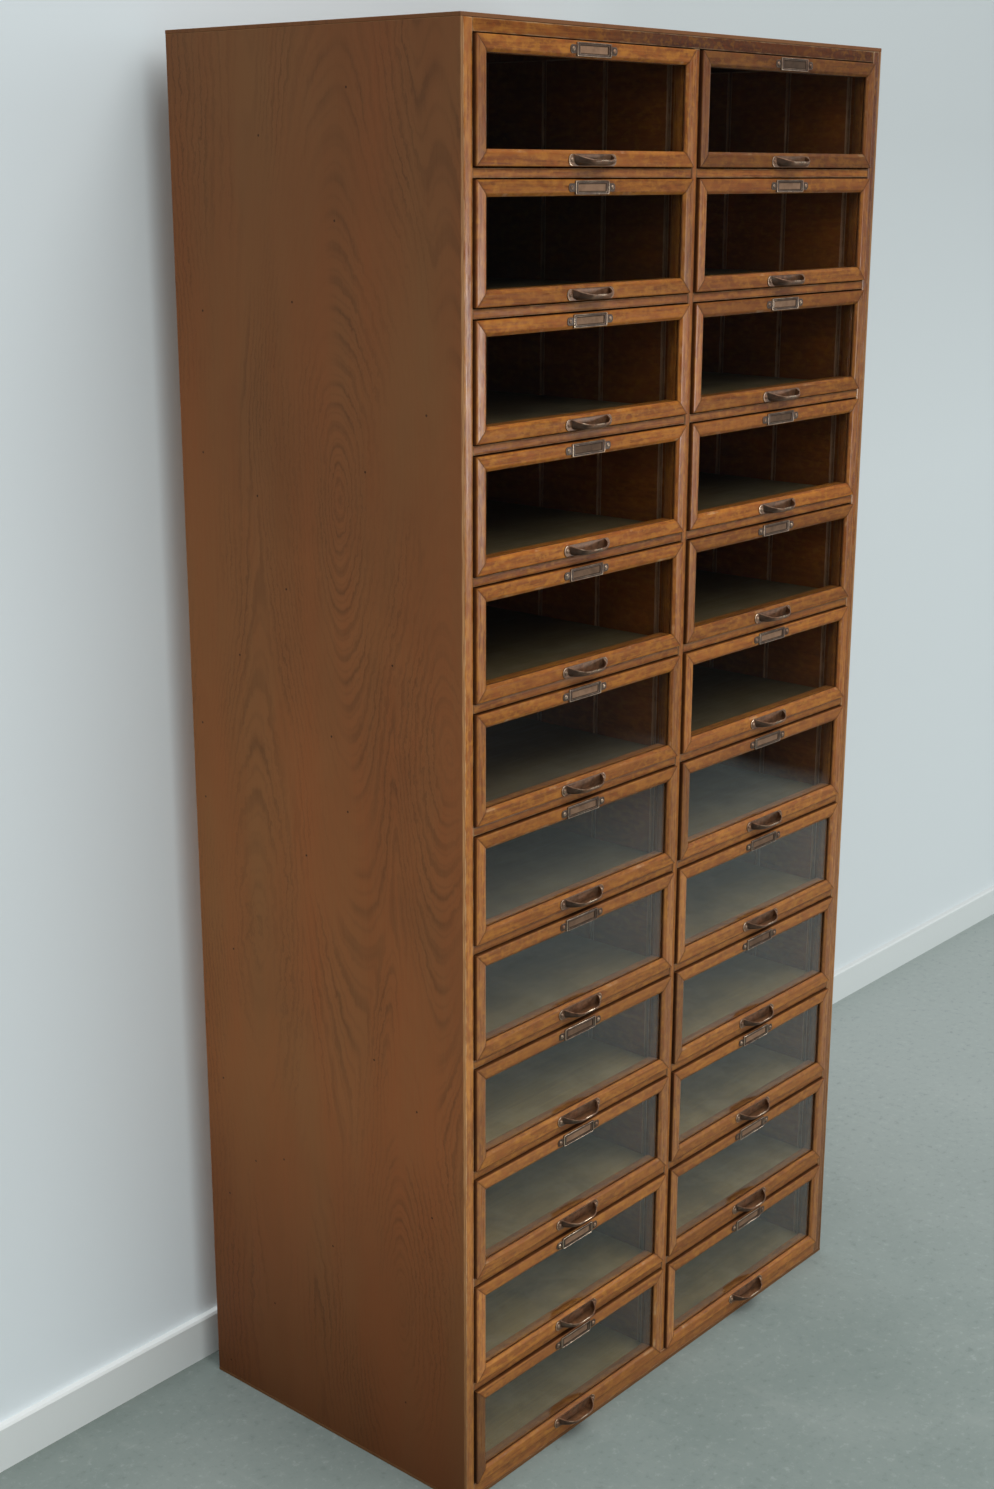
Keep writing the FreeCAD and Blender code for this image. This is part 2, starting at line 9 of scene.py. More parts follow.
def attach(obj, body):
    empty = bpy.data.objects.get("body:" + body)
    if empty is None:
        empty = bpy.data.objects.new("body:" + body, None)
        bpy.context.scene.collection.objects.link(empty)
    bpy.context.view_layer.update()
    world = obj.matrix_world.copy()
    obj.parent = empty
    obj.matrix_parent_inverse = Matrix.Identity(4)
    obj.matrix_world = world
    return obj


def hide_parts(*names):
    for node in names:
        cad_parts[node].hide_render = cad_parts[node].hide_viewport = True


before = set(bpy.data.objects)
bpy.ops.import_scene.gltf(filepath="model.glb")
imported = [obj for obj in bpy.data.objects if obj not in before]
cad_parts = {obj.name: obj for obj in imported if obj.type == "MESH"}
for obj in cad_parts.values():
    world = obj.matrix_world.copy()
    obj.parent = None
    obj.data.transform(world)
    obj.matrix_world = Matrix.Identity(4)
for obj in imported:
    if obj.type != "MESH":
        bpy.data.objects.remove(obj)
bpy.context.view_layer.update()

# The cabinet is drawn in millimetres and scaled once, when a piece is finished.
MM = 0.001
AXES = ACROSS, BACKWARD, UP = 0, 1, 2
WIDE, DEEP, TALL, PLY = 939.0, 520.0, 2002.0, 5.0
FRONT, BACK = -DEEP / 2, DEEP / 2
ROWS, FIRST_FLOOR, PITCH = 12, 25.0, 164.0
OPEN_WIDE, OPEN_HIGH = 442.5, 152.0
COLUMN_X = {"left": -448.5, "right": 6.0}
RIGHT_END = COLUMN_X["right"] + OPEN_WIDE
FACE, STILE, MUNTIN, RAIL, TOP_RAIL, BOTTOM_RAIL = 20.0, 16.0, 12.0, 12.0, 16.0, 20.0
LEDGE, GUIDE_HIGH, STOP_DEEP, STOP_HIGH = 14.0, 25.0, 17.7, 15.0
FRONT_GAP, PROUD, MEMBER_WIDE, MITRE_GAP = 1.5, 5.0, 20.0, 0.07
BOX_FRONT, BOX_BACK, RUN_GAP = 19.0, 497.0, 0.3
SIDE_GAP, SIDE_THICK, SIDE_HIGH = 1.5, 8.0, 145.0
GROOVES, FIRST_GROOVE, GROOVE_STEP, GROOVE_HALF, GROOVE_DEEP = 4, 16.0, 108.0, 2.5, 3.0
FLOOR_UP, FLOOR_THICK, BACK_THICK, BACK_HIGH = 6.0, 4.0, 8.0, 125.0
PANE_FRONT, PANE_THICK, PANE_HELD = 0.4, 3.0, 4.0
CARD_HALF, CARD_THICK = 29.5, 0.35
# how far apart the points stand along the face frame, the rails, the drawer frames and the sheets
FACE_STEP, RAIL_STEP, MEMBER_STEP, SHEET_STEP = 14.0, 30.0, 9.0, 90.0
SHARP = math.radians(38)


# ---------------- wiring finishes


class Wiring:
    """Sets out the nodes of one tree and joins them up."""

    def __init__(self, tree):
        self.tree = tree

    def node(self, kind, feeds=None, **settings):
        made = self.tree.nodes.new(kind)
        for key, setting in settings.items():
            setattr(made, key, setting)
        for key, feed in (feeds or {}).items():
            self.feed(made.inputs[key], feed)
        return made

    def feed(self, socket, feed):
        if isinstance(feed, bpy.types.NodeSocket):
            self.tree.links.new(feed, socket)
        else:
            socket.default_value = (*feed, 1) if socket.type == "RGBA" else feed

    def math(self, operation, first, second=0.0, third=0.0, clamp=False):
        feeds = {0: first, 1: second, 2: third}
        return self.node("ShaderNodeMath", feeds, operation=operation, use_clamp=clamp).outputs[0]

    def plus(self, first, second, clamp=False):
        return self.math("ADD", first, second, clamp=clamp)

    def minus(self, first, second):
        return self.math("SUBTRACT", first, second)

    def times(self, first, second):
        return self.math("MULTIPLY", first, second)

    def vector(self, operation, first, second, socket=1):
        return self.node("ShaderNodeVectorMath", {0: first, socket: second}, operation=operation).outputs[0]

    def stretch(self, vector, factors):
        return self.vector("MULTIPLY", vector, factors)

    def shift(self, vector, offset):
        return self.vector("ADD", vector, offset)

    def split(self, vector):
        return self.node("ShaderNodeSeparateXYZ", {0: vector}).outputs

    def joined(self, x, y, z):
        return self.node("ShaderNodeCombineXYZ", {0: x, 1: y, 2: z}).outputs[0]

    def noise(self, vector, scale=1.0, detail=2.0, rough=0.5, twist=0.0):
        feeds = {"Vector": vector, "Scale": scale, "Detail": detail, "Roughness": rough, "Distortion": twist}
        return self.node("ShaderNodeTexNoise", feeds).outputs["Fac"]

    def streaks(self, vector, factors, detail=2.0, rough=0.5, offset=None, twist=0.0):
        """Noise drawn out along the axes."""
        vector = self.stretch(vector, factors)
        return self.noise(self.shift(vector, offset) if offset else vector, 1.0, detail, rough, twist)

    def between(self, value, low, high, new_low=0.0, new_high=1.0):
        feeds = {0: value, 1: low, 2: high, 3: new_low, 4: new_high}
        return self.node("ShaderNodeMapRange", feeds, clamp=True).outputs[0]

    def mix(self, factor, first, second, blend="MIX"):
        feeds = {0: factor, 6: first, 7: second}
        return self.node("ShaderNodeMix", feeds, data_type="RGBA", blend_type=blend).outputs[2]

    def layers(self, colour, *coats):
        """Lays one colour after another over the first, each by its own mask."""
        for mask, coat in coats:
            colour = self.mix(mask, colour, coat)
        return colour

    def levelled(self, colour, level):
        return self.mix(1.0, colour, self.joined(level, level, level), "MULTIPLY")

    def toned(self, colour, tone, low, high):
        return self.levelled(colour, self.between(tone, 0.0, 1.0, low, high))

    def bump(self, height, strength, distance):
        feeds = {"Height": height, "Strength": strength, "Distance": distance}
        return self.node("ShaderNodeBump", feeds).outputs[0]

    def place(self):
        return self.node("ShaderNodeTexCoord").outputs["Object"]

    def grain(self):
        return self.node("ShaderNodeAttribute", attribute_name="grain").outputs["Vector"]

    def marks(self):
        """Wear, tone, grime with painted shade, and age, as they sit on the points."""
        marks = self.node("ShaderNodeAttribute", attribute_name="marks").outputs
        return *self.node("ShaderNodeSeparateColor", {0: marks["Color"]}).outputs[:3], marks["Alpha"]

    def group(self, tree, **feeds):
        made = self.node("ShaderNodeGroup", node_tree=tree)
        for key, feed in feeds.items():
            self.feed(made.inputs[key.replace("_", " ")], feed)
        return made.outputs

    def rubbed(self, edge, place, amount):
        return self.group(RUBBED_EDGE, Edge=edge, Place=place, Amount=amount)["Mask"]

    def grime(self, place, size, cover):
        return self.group(OLD_GRIME, Place=place, Size=size, Cover=cover)["Mask"]

    def shape(self, kind, **feeds):
        return self.node(f"GeometryNode{kind}", feeds).outputs[0]

    def random_vector(self, low, high, seed):
        feeds = {0: low, 1: high, "Seed": seed}
        return self.node("FunctionNodeRandomValue", feeds, data_type="FLOAT_VECTOR").outputs[0]


def shared_tree(kind, set_out, **inputs):
    """A node tree with named inputs, whose outputs are what its wiring hands back."""
    tree = bpy.data.node_groups.new(set_out.__name__, f"{kind}NodeTree")
    for label, start in inputs.items():
        sort = start if isinstance(start, str) else "Int" if isinstance(start, int) else "Float"
        socket = tree.interface.new_socket(
            label.replace("_", " "), in_out="INPUT", socket_type=f"NodeSocket{sort}"
        )
        if sort != start:
            socket.default_value = start
    w = Wiring(tree)
    results = set_out(w, w.node("NodeGroupInput").outputs)
    sort = "Geometry" if kind == "Geometry" else "Float"
    for label in results:
        tree.interface.new_socket(label, in_out="OUTPUT", socket_type=f"NodeSocket{sort}")
    w.node("NodeGroupOutput", results)
    return tree


def board_grain(w, given):
    """Growth rings, fibres and open pores of a sawn oak board; the grain runs along the vector's X."""
    grain = given["Grain"]
    coarse = w.math("DIVIDE", 1000.0, given["Ring Size"])
    fine = w.math("DIVIDE", 1000.0, given["Pore Size"])

    def drawn_out(along, factor):
        return w.vector("SCALE", w.stretch(grain, (along, 1.0, 1.0)), factor, 3)

    mottle = w.streaks(grain, (42.0, 150.0, 150.0), 3.0, 0.6)
    wander = w.noise(drawn_out(0.05, coarse), 0.35, 2.0, 0.55, 0.4)
    rings = w.between(w.math("SINE", w.times(wander, 44.0)), -1.0, 1.0)
    fibre = w.noise(drawn_out(0.03, fine), 0.4, 4.0, 0.6)
    pores = w.between(w.noise(drawn_out(0.055, fine), 0.75), 0.6, 0.72)
    pores = w.times(pores, w.between(rings, 0.2, 0.9, 1.0, 0.35))
    height = w.minus(w.times(fibre, 0.4), pores)
    return {"Rings": rings, "Fibre": fibre, "Pores": pores, "Mottle": mottle, "Height": height}


# eyes of the sheet: height, depth (metres), how slender, and how far out its first line lies
EYES = (
    (1.415, -0.060, 2.5, 0.0),
    (1.110, -0.235, 3.0, 0.045),
    (0.276, -0.158, 2.6, 0.03),
    (0.780, 0.120, 6.0, 0.12),
    (0.600, -0.120, 5.0, 0.10),
)


def peeled_grain(w, given):
    """Long closed eyes and wandering lines of a rotary-cut veneer sheet; the grain runs along X."""
    grain = given["Grain"]
    along, across, _ = w.split(grain)
    wander = w.streaks(grain, (1.5, 4.5, 1.0), 1.5, 0.45)
    ragged = w.streaks(grain, (30.0, 60.0, 1.0), 4.0, 0.7)
    across = w.plus(across, w.times(w.minus(wander, 0.5), 0.16))
    across = w.plus(across, w.times(w.minus(ragged, 0.5), 0.024))
    level = None
    for place, side, slender, start in EYES:
        rise = w.math("ABSOLUTE", w.minus(along, place))
        rise = w.math("DIVIDE", rise, w.times(w.math("MULTIPLY_ADD", rise, 1.3, 1.0), slender))
        breadth = w.minus(across, side)
        reach = w.math("SQRT", w.plus(w.times(rise, rise), w.times(breadth, breadth)))
        reach = w.plus(reach, start)
        level = reach if level is None else w.math("SMOOTH_MIN", level, reach, 0.02)
    phase = w.times(level, given["Lines"])
    wave, second = (
        w.between(w.math("SINE", w.times(phase, turns * math.pi)), -1.0, 1.0) for turns in (2, 4.6)
    )
    line = w.plus(w.times(w.math("POWER", wave, 4.0), 0.75), w.times(w.math("POWER", second, 5.0), 0.4), True)
    faint = w.streaks(grain, (3.0, 11.0, 1.0), offset=(11.0, 4.0, 0.0))
    line = w.times(line, w.between(faint, 0.42, 0.62, 0.1, 1.0))
    fibre = w.streaks(grain, (20.0, 700.0, 1.0), 4.0, 0.62)
    patch = w.streaks(grain, (1.6, 9.0, 1.0), 2.5, offset=(3.1, 7.7, 0.0))
    cells = w.node("ShaderNodeTexVoronoi", {"Vector": grain, "Scale": 5.0}, voronoi_dimensions="2D")
    pinholes = w.between(cells.outputs["Distance"], 0.006, 0.010, 1.0, 0.0)
    height = w.plus(w.times(fibre, 0.6), w.times(line, -0.5))
    return {"Line": line, "Fibre": fibre, "Patch": patch, "Pinholes": pinholes, "Height": height}


def rubbed_edge(w, given):
    """Where handling has rubbed an arris: the marked edge broken up by noise."""
    patchy = w.noise(given["Place"], 55.0, 3.0, 0.6)
    line = w.plus(given["Edge"], w.times(w.minus(patchy, 0.5), 1.1))
    low = w.minus(1.15, given["Amount"])
    return {"Mask": w.between(line, low, w.plus(low, 0.35))}


def old_grime(w, given):
    """Soft blotches of old polish and dirt."""
    blotch = w.noise(given["Place"], given["Size"], 4.0, 0.62, 0.3)
    edge = w.minus(1.0, given["Cover"])
    return {"Mask": w.between(blotch, w.minus(edge, 0.16), w.plus(edge, 0.16))}


BOARD_GRAIN = shared_tree("Shader", board_grain, Grain="Vector", Ring_Size=9.0, Pore_Size=0.8)
PEELED_GRAIN = shared_tree("Shader", peeled_grain, Grain="Vector", Lines=115.0)
RUBBED_EDGE = shared_tree("Shader", rubbed_edge, Edge=0.0, Place="Vector", Amount=0.5)
OLD_GRIME = shared_tree("Shader", old_grime, Place="Vector", Size=6.0, Cover=0.5)


def new_finish(name, set_out, **settings):
    """A material: its wiring hands back what feeds its surface, or the whole shader."""
    material = bpy.data.materials.new(name)
    material.use_nodes = True
    material.node_tree.nodes.clear()
    w = Wiring(material.node_tree)
    shader = set_out(w, **settings)
    if isinstance(shader, dict):
        shader = w.node("ShaderNodeBsdfPrincipled", shader).outputs[0]
    w.node("ShaderNodeOutputMaterial", {"Surface": shader})
    return material


def oak(w, dark, light, old, rough, gloss, ring_size, contrast=1.0, rub=0.45, bare=(0.55, 0.36, 0.20)):
    """Stained and varnished oak: rings, fibres, pores, rubbed arrises, grime, painted shade in the gaps,
    slots and corners, and a painted sheen towards the foot.
    """
    grain, place = w.grain(), w.place()
    edge, tone, dirt, age = w.marks()
    board = w.group(BOARD_GRAIN, Grain=grain, Ring_Size=ring_size)
    figure = w.plus(w.times(board["Rings"], 0.45), w.times(w.between(board["Fibre"], 0.3, 0.7), 0.55))
    figure = w.math("MULTIPLY_ADD", w.minus(figure, 0.5), contrast, 0.5)
    patch = w.streaks(grain, (85.0, 120.0, 120.0), 2.0, 0.6, (2.0, 5.0, 7.0))
    blotch = w.streaks(grain, (6.0, 30.0, 30.0))
    # old grime blotches, plus the marked grime with painted shade in the gaps, slots and corners
    grime = w.plus(w.times(w.grime(place, 9.0, 0.32), 0.2), w.times(dirt, 0.9), True)
    colour = w.layers(
        w.mix(figure, dark, light),
        (w.between(board["Mottle"], 0.47, 0.62, 0.0, 0.6), light),
        (w.between(board["Mottle"], 0.36, 0.49, 0.4, 0.0), (0.20, 0.046, 0.005)),
        (age, w.mix(figure, old, (0.165, 0.062, 0.034))),
        (w.between(patch, 0.5, 0.66, 0.0, 0.45), (0.46, 0.180, 0.018)),
        (w.between(patch, 0.34, 0.48, 0.45, 0.0), (0.30, 0.072, 0.008)),
        (w.between(blotch, 0.45, 0.72, 0.0, 0.45), (0.23, 0.062, 0.010)),
        (w.times(board["Pores"], 0.4), (0.07, 0.016, 0.002)),
        (w.times(w.rubbed(edge, place, rub), 0.6), bare),
        # paler towards the foot, below 1.3 m: a painted sheen
        (w.between(w.split(place)[2], 1.3, 0.7, 0.0, 0.10), (0.44, 0.33, 0.20)),
        (grime, (0.042, 0.011, 0.003)),
    )
    sheen = w.between(board["Fibre"], 0.3, 0.7, rough - 0.08, rough + 0.1)
    return {
        "Base Color": w.toned(colour, tone, 0.45, 1.55),
        "Specular IOR Level": gloss,
        "Roughness": w.plus(sheen, w.times(grime, 0.2)),
        "Normal": w.bump(board["Height"], 0.35, 0.0004),
    }


def side_veneer(w):
    """Matt brown plywood sheet with rotary-cut figure and a paler sawn edge."""
    grain, place = w.grain(), w.place()
    edge, tone, dirt, cut = w.marks()
    sheet = w.group(PEELED_GRAIN, Grain=grain, Lines=125.0)
    red = w.streaks(grain, (1.1, 6.0, 1.0), 3.0, 0.6, (5.0, 1.0, 0.0))
    plies = w.streaks(grain, (30.0, 30.0, 1400.0))
    raw = w.mix(w.between(plies, 0.35, 0.65), (0.22, 0.09, 0.03), (0.42, 0.22, 0.085))
    colour = w.layers(
        w.mix(w.between(sheet["Patch"], 0.3, 0.7), (0.235, 0.080, 0.023), (0.250, 0.106, 0.036)),
        (w.between(red, 0.45, 0.7, 0.0, 0.75), (0.29, 0.086, 0.024)),
        (w.times(sheet["Line"], 0.5), (0.075, 0.028, 0.009)),
        (w.times(w.between(sheet["Fibre"], 0.35, 0.65), 0.25), (0.27, 0.135, 0.055)),
        (w.times(w.grime(place, 3.0, 0.36), 0.2), (0.06, 0.026, 0.012)),
        (w.times(sheet["Pinholes"], 0.85), (0.02, 0.008, 0.004)),
        (w.times(w.rubbed(edge, place, 0.35), 0.5), (0.30, 0.19, 0.10)),
        (cut, raw),
        (w.times(dirt, 0.8), (0.03, 0.014, 0.007)),
    )
    height = w.split(place)[2]
    return {
        "Base Color": w.layers(
            w.toned(colour, tone, 0.5, 1.5),
            # painted shade: the sheet is darkened towards its foot and, less, towards its top
            (w.times(w.between(height, 0.02, 0.55, 1.0, 0.0), 0.68), (0.052, 0.015, 0.003)),
            (w.times(w.between(height, 1.0, 1.8), 0.34), (0.060, 0.023, 0.009)),
        ),
        "Specular IOR Level": 0.14,
        "Roughness": w.between(sheet["Fibre"], 0.3, 0.7, 0.5, 0.66),
        "Normal": w.bump(sheet["Height"], 0.3, 0.0005),
    }


def drawer_floor_board(w):
    """Thin greyish board, dusty, with a faint grain."""
    place = w.place()
    board = w.group(BOARD_GRAIN, Grain=w.grain(), Ring_Size=20.0, Pore_Size=1.6)
    colour = w.layers(
        w.mix(w.between(board["Fibre"], 0.3, 0.7), (0.185, 0.125, 0.046), (0.25, 0.175, 0.072)),
        (w.times(board["Rings"], 0.2), (0.15, 0.085, 0.03)),
        (w.times(w.grime(place, 9.0, 0.47), 0.6), (0.085, 0.055, 0.026)),
        (w.times(w.grime(w.shift(place, (3.0, 1.0, 5.0)), 14.0, 0.4), 0.35), (0.36, 0.30, 0.20)),
    )
    return {
        "Base Color": w.toned(colour, w.marks()[1], 0.2, 1.8),
        "Roughness": w.between(board["Fibre"], 0.3, 0.7, 0.55, 0.75),
        "Normal": w.bump(board["Height"], 0.25, 0.0004),
    }


def old_bronze(w):
    """Oxidised bronze: dark brown skin, rubbed bright on the rims, partly as painted highlights, dull
    verdigris in blotches, and darkening as grime and painted shade in the marked hollows and on the flanks.
    """
    place = w.place()
    edge, tone, dirt, _ = w.marks()
    cloud = w.noise(place, 140.0, 4.0, 0.65)
    clouded = w.between(cloud, 0.35, 0.65)
    rubbed = w.rubbed(edge, place, 0.5)
    return {
        "Base Color": w.layers(
            w.mix(clouded, (0.10, 0.043, 0.020), (0.27, 0.130, 0.066)),
            (w.between(tone, 0.5, 1.0), w.mix(clouded, (0.24, 0.090, 0.030), (0.44, 0.200, 0.080))),
            (w.between(tone, 0.0, 0.5, 1.0, 0.0), (0.045, 0.026, 0.014)),
            # rubbed rims; where the bead and belly are marked brightest this is a painted highlight
            (rubbed, (0.64, 0.48, 0.34)),
            (w.times(w.grime(place, 60.0, 0.42), 0.35), (0.12, 0.125, 0.095)),
            # the marked grime, with painted shade in the hollows and on the flanks
            (w.times(dirt, 0.8), (0.018, 0.010, 0.007)),
        ),
        "Metallic": w.between(rubbed, 0.0, 1.0, 0.4, 0.9),
        "Roughness": w.minus(w.between(cloud, 0.3, 0.7, 0.32, 0.50), w.times(rubbed, 0.14)),
        "Normal": w.bump(cloud, 0.25, 0.0003),
    }


def blank_card(w):
    """Aged card with faint fibres and foxing."""
    place = w.place()
    fibres = w.streaks(place, (900.0, 300.0, 1500.0), 3.0)
    colour = w.layers(
        w.mix(fibres, (0.150, 0.083, 0.048), (0.26, 0.155, 0.095)),
        (w.times(w.grime(place, 45.0, 0.4), 0.6), (0.05, 0.024, 0.012)),
    )
    return {
        "Base Color": w.toned(colour, w.marks()[1], 0.2, 1.35),
        "Specular IOR Level": 0.2,
        "Roughness": w.between(fibres, 0.0, 1.0, 0.7, 0.9),
        "Normal": w.bump(fibres, 0.2, 0.0002),
    }


def drawer_glass(w):
    """Clear old sheet glass, very slightly uneven, that lets daylight through to the drawer."""
    place = w.place()
    smear = w.noise(place, 14.0, 3.0, 0.6)
    glass = w.node("ShaderNodeBsdfPrincipled", {
        "Base Color": w.mix(w.between(smear, 0.3, 0.7), (0.93, 0.955, 0.935), (0.97, 0.985, 0.97)),
        "Roughness": w.between(smear, 0.35, 0.75, 0.0, 0.004),
        "Normal": w.bump(w.noise(place, 9.0, 1.0), 0.06, 0.002),
        "Transmission Weight": 1.0,
        "IOR": 1.5,
    })
    clear = w.node("ShaderNodeBsdfTransparent", {"Color": (0.9, 0.93, 0.91)})
    shadow = w.node("ShaderNodeLightPath").outputs["Is Shadow Ray"]
    return w.node("ShaderNodeMixShader", {0: shadow, 1: glass.outputs[0], 2: clear.outputs[0]}).outputs[0]


OAK_RAIL, OAK_STILE, OAK_FACE, OAK_TOP = (
    new_finish(name, oak, dark=dark, light=light, old=old, rough=rough, gloss=gloss, ring_size=ring_size)
    for name, dark, light, old, rough, gloss, ring_size in (
        ("oak_rail", (0.160, 0.040, 0.004), (0.42, 0.145, 0.015), (0.10, 0.033, 0.020), 0.45, 0.12, 9.0),
        ("oak_stile", (0.155, 0.042, 0.006), (0.43, 0.158, 0.024), (0.10, 0.033, 0.020), 0.3, 0.32, 9.0),
        ("oak_face", (0.155, 0.038, 0.005), (0.40, 0.138, 0.017), (0.075, 0.024, 0.016), 0.40, 0.16, 7.0),
        ("oak_top", (0.155, 0.038, 0.005), (0.40, 0.138, 0.017), (0.085, 0.024, 0.013), 0.5, 0.08, 7.0),
    )
)
# Its rubbed arrises are strong and pale: wear, and painted highlights along the groove edges.
OAK_INSIDE = new_finish(
    "oak_inside", oak, dark=(0.22, 0.060, 0.007), light=(0.38, 0.115, 0.015), old=(0.05, 0.02, 0.008),
    rough=0.55, gloss=0.15, ring_size=22.0, contrast=0.8, rub=0.85, bare=(0.80, 0.52, 0.32),
)
VENEER, FLOOR_BOARD, BRONZE, CARD, GLASS = (
    new_finish(wiring.__name__, wiring)
    for wiring in (side_veneer, drawer_floor_board, old_bronze, blank_card, drawer_glass)
)


# ---------------- stock


def placed(name, data):
    made = bpy.data.objects.new(name, data)
    bpy.context.collection.objects.link(made)
    return made


def dress(name, mesh, body, slot, *nodes):
    """A piece that rides a body and stands in for its nodes."""
    made = placed(name, mesh)
    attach(made, body)
    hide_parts(*nodes)


def ring_faces(rings, closed=True):
    """Quads between successive rings of equal length."""
    faces = []
    for lower, upper in zip(rings, rings[1:]):
        count = len(lower)
        for index in range(count if closed else count - 1):
            following = (index + 1) % count
            faces.append((lower[index], lower[following], upper[following], upper[index]))
    return faces


def numbered_rings(count, length):
    return [list(range(start * length, (start + 1) * length)) for start in range(count)]


def rim_of(rows):
    """The border of a grid, once round."""
    return rows[0] + [row[-1] for row in rows[1:]] + rows[-1][-2::-1] + [row[0] for row in rows[-2:0:-1]]


def slab_faces(front, back, *belts):
    """Two grids of points, joined round their borders."""
    faces = ring_faces(front, closed=False) + ring_faces(back, closed=False)
    return faces + ring_faces([rim_of(front), *belts, rim_of(back)])


class Stock:
    """The points and faces of one piece in millimetres, with the grain and marks at every point."""

    def __init__(self, name, *finishes, offset=(0, 0, 0)):
        self.name, self.finishes, self.offset = name, finishes, Vector(offset)
        self.points, self.grain, self.marks, self.faces, self.finish = [], [], [], [], []

    def add(self, points, faces, run=ACROSS, shift=(0, 0, 0), order=None, finish=0, **marks):
        """Adds closed surfaces whose grain runs along one axis; a mark is one value, or one a point."""
        first = len(self.points)
        order = order or [run] + [axis for axis in AXES if axis != run]
        marks = {"edge": 0.0, "tone": 0.5, "dirt": 0.0, "age": 0.0, **marks}.values()
        self.points += [(Vector(point) + self.offset) * MM for point in points]
        self.grain += [[point[axis] * MM + far for axis, far in zip(order, shift)] for point in points]
        self.marks += zip(*(mark if isinstance(mark, list) else [mark] * len(points) for mark in marks))
        self.faces += [[first + corner for corner in face] for face in faces]
        self.finish += [finish] * len(faces)

    def skin(self, stations, section, spot, run=ACROSS, shift=(0, 0, 0), looped=False, **marks):
        """A section drawn through its stations; every spot brings its point, its wear, and its grime with
        painted shade.
        """
        spots = [spot(*station, *corner) for station in stations for corner in section]
        points, edges, dirt = map(list, zip(*spots))
        rings = numbered_rings(len(stations), len(section))
        faces = ring_faces(rings + rings[:1]) if looped else ring_faces(rings) + [rings[0], rings[-1]]
        self.add(points, faces, run, shift, edge=edges, dirt=dirt, **marks)

    def take(self, mesh, edge):
        """Adds a ready mesh in metres."""
        first = len(self.points)
        self.points += [vertex.co.copy() for vertex in mesh.vertices]
        self.grain += [tuple(vertex.co) for vertex in mesh.vertices]
        self.marks += [(edge, 0.5, 0.0, 0.0)] * len(mesh.vertices)
        self.faces += [[first + corner for corner in face.vertices] for face in mesh.polygons]
        self.finish += [0] * len(mesh.polygons)

    def mesh(self):
        made = bpy.data.meshes.new(self.name)
        made.from_pydata([tuple(point) for point in self.points], [], self.faces)
        grain = made.attributes.new("grain", "FLOAT_VECTOR", "POINT")
        grain.data.foreach_set("vector", [part for vector in self.grain for part in vector])
        marks = made.attributes.new("marks", "FLOAT_COLOR", "POINT")
        marks.data.foreach_set("color", [part for mark in self.marks for part in mark])
        for material in self.finishes:
            made.materials.append(material)
        made.polygons.foreach_set("material_index", self.finish)
        work = bmesh.new()
        work.from_mesh(made)
        bmesh.ops.recalc_face_normals(work, faces=work.faces)
        work.to_mesh(made)
        work.free()
        made.polygons.foreach_set("use_smooth", [True] * len(made.polygons))
        made.set_sharp_from_angle(angle=SHARP)
        made.validate()
        return made

    def piece(self, body, slot, *nodes):
        dress(self.name, self.mesh(), body, slot, *nodes)


class Drawer:
    """One drawer: its column, its row from the top, and the lower left corner of its opening."""

    def __init__(self, side, row):
        self.side, self.row, self.right, self.tag = side, row, side == "right", f"{side}_{row:02d}"
        self.x, self.z = COLUMN_X[side], FIRST_FLOOR + (ROWS - row) * PITCH
        self.middle, self.face = self.x + OPEN_WIDE / 2, FRONT - PROUD
        self.label_z = self.z + OPEN_HIGH - FRONT_GAP - MEMBER_WIDE / 2

    def chance(self, first, each_row=50, on_right=7):
        return random.Random(first + each_row * self.row + on_right * self.right)

    def stock(self, kind, *finishes, offset=None):
        return Stock(f"{kind}_{self.tag}", *finishes, offset=offset or (self.x, FRONT, self.z))

    def dress(self, stock, slot, kind="fittings"):
        stock.piece(f"drawer_{self.tag}", slot, f"{kind}_{self.tag}")

    def special(self, values):
        return values.get((self.side, self.row), 0.0)


def grain_shift(chance):
    """Somewhere else in the tree, so no two boards are alike."""
    return (chance.uniform(0, 40), chance.uniform(0, 9), chance.uniform(0, 9))


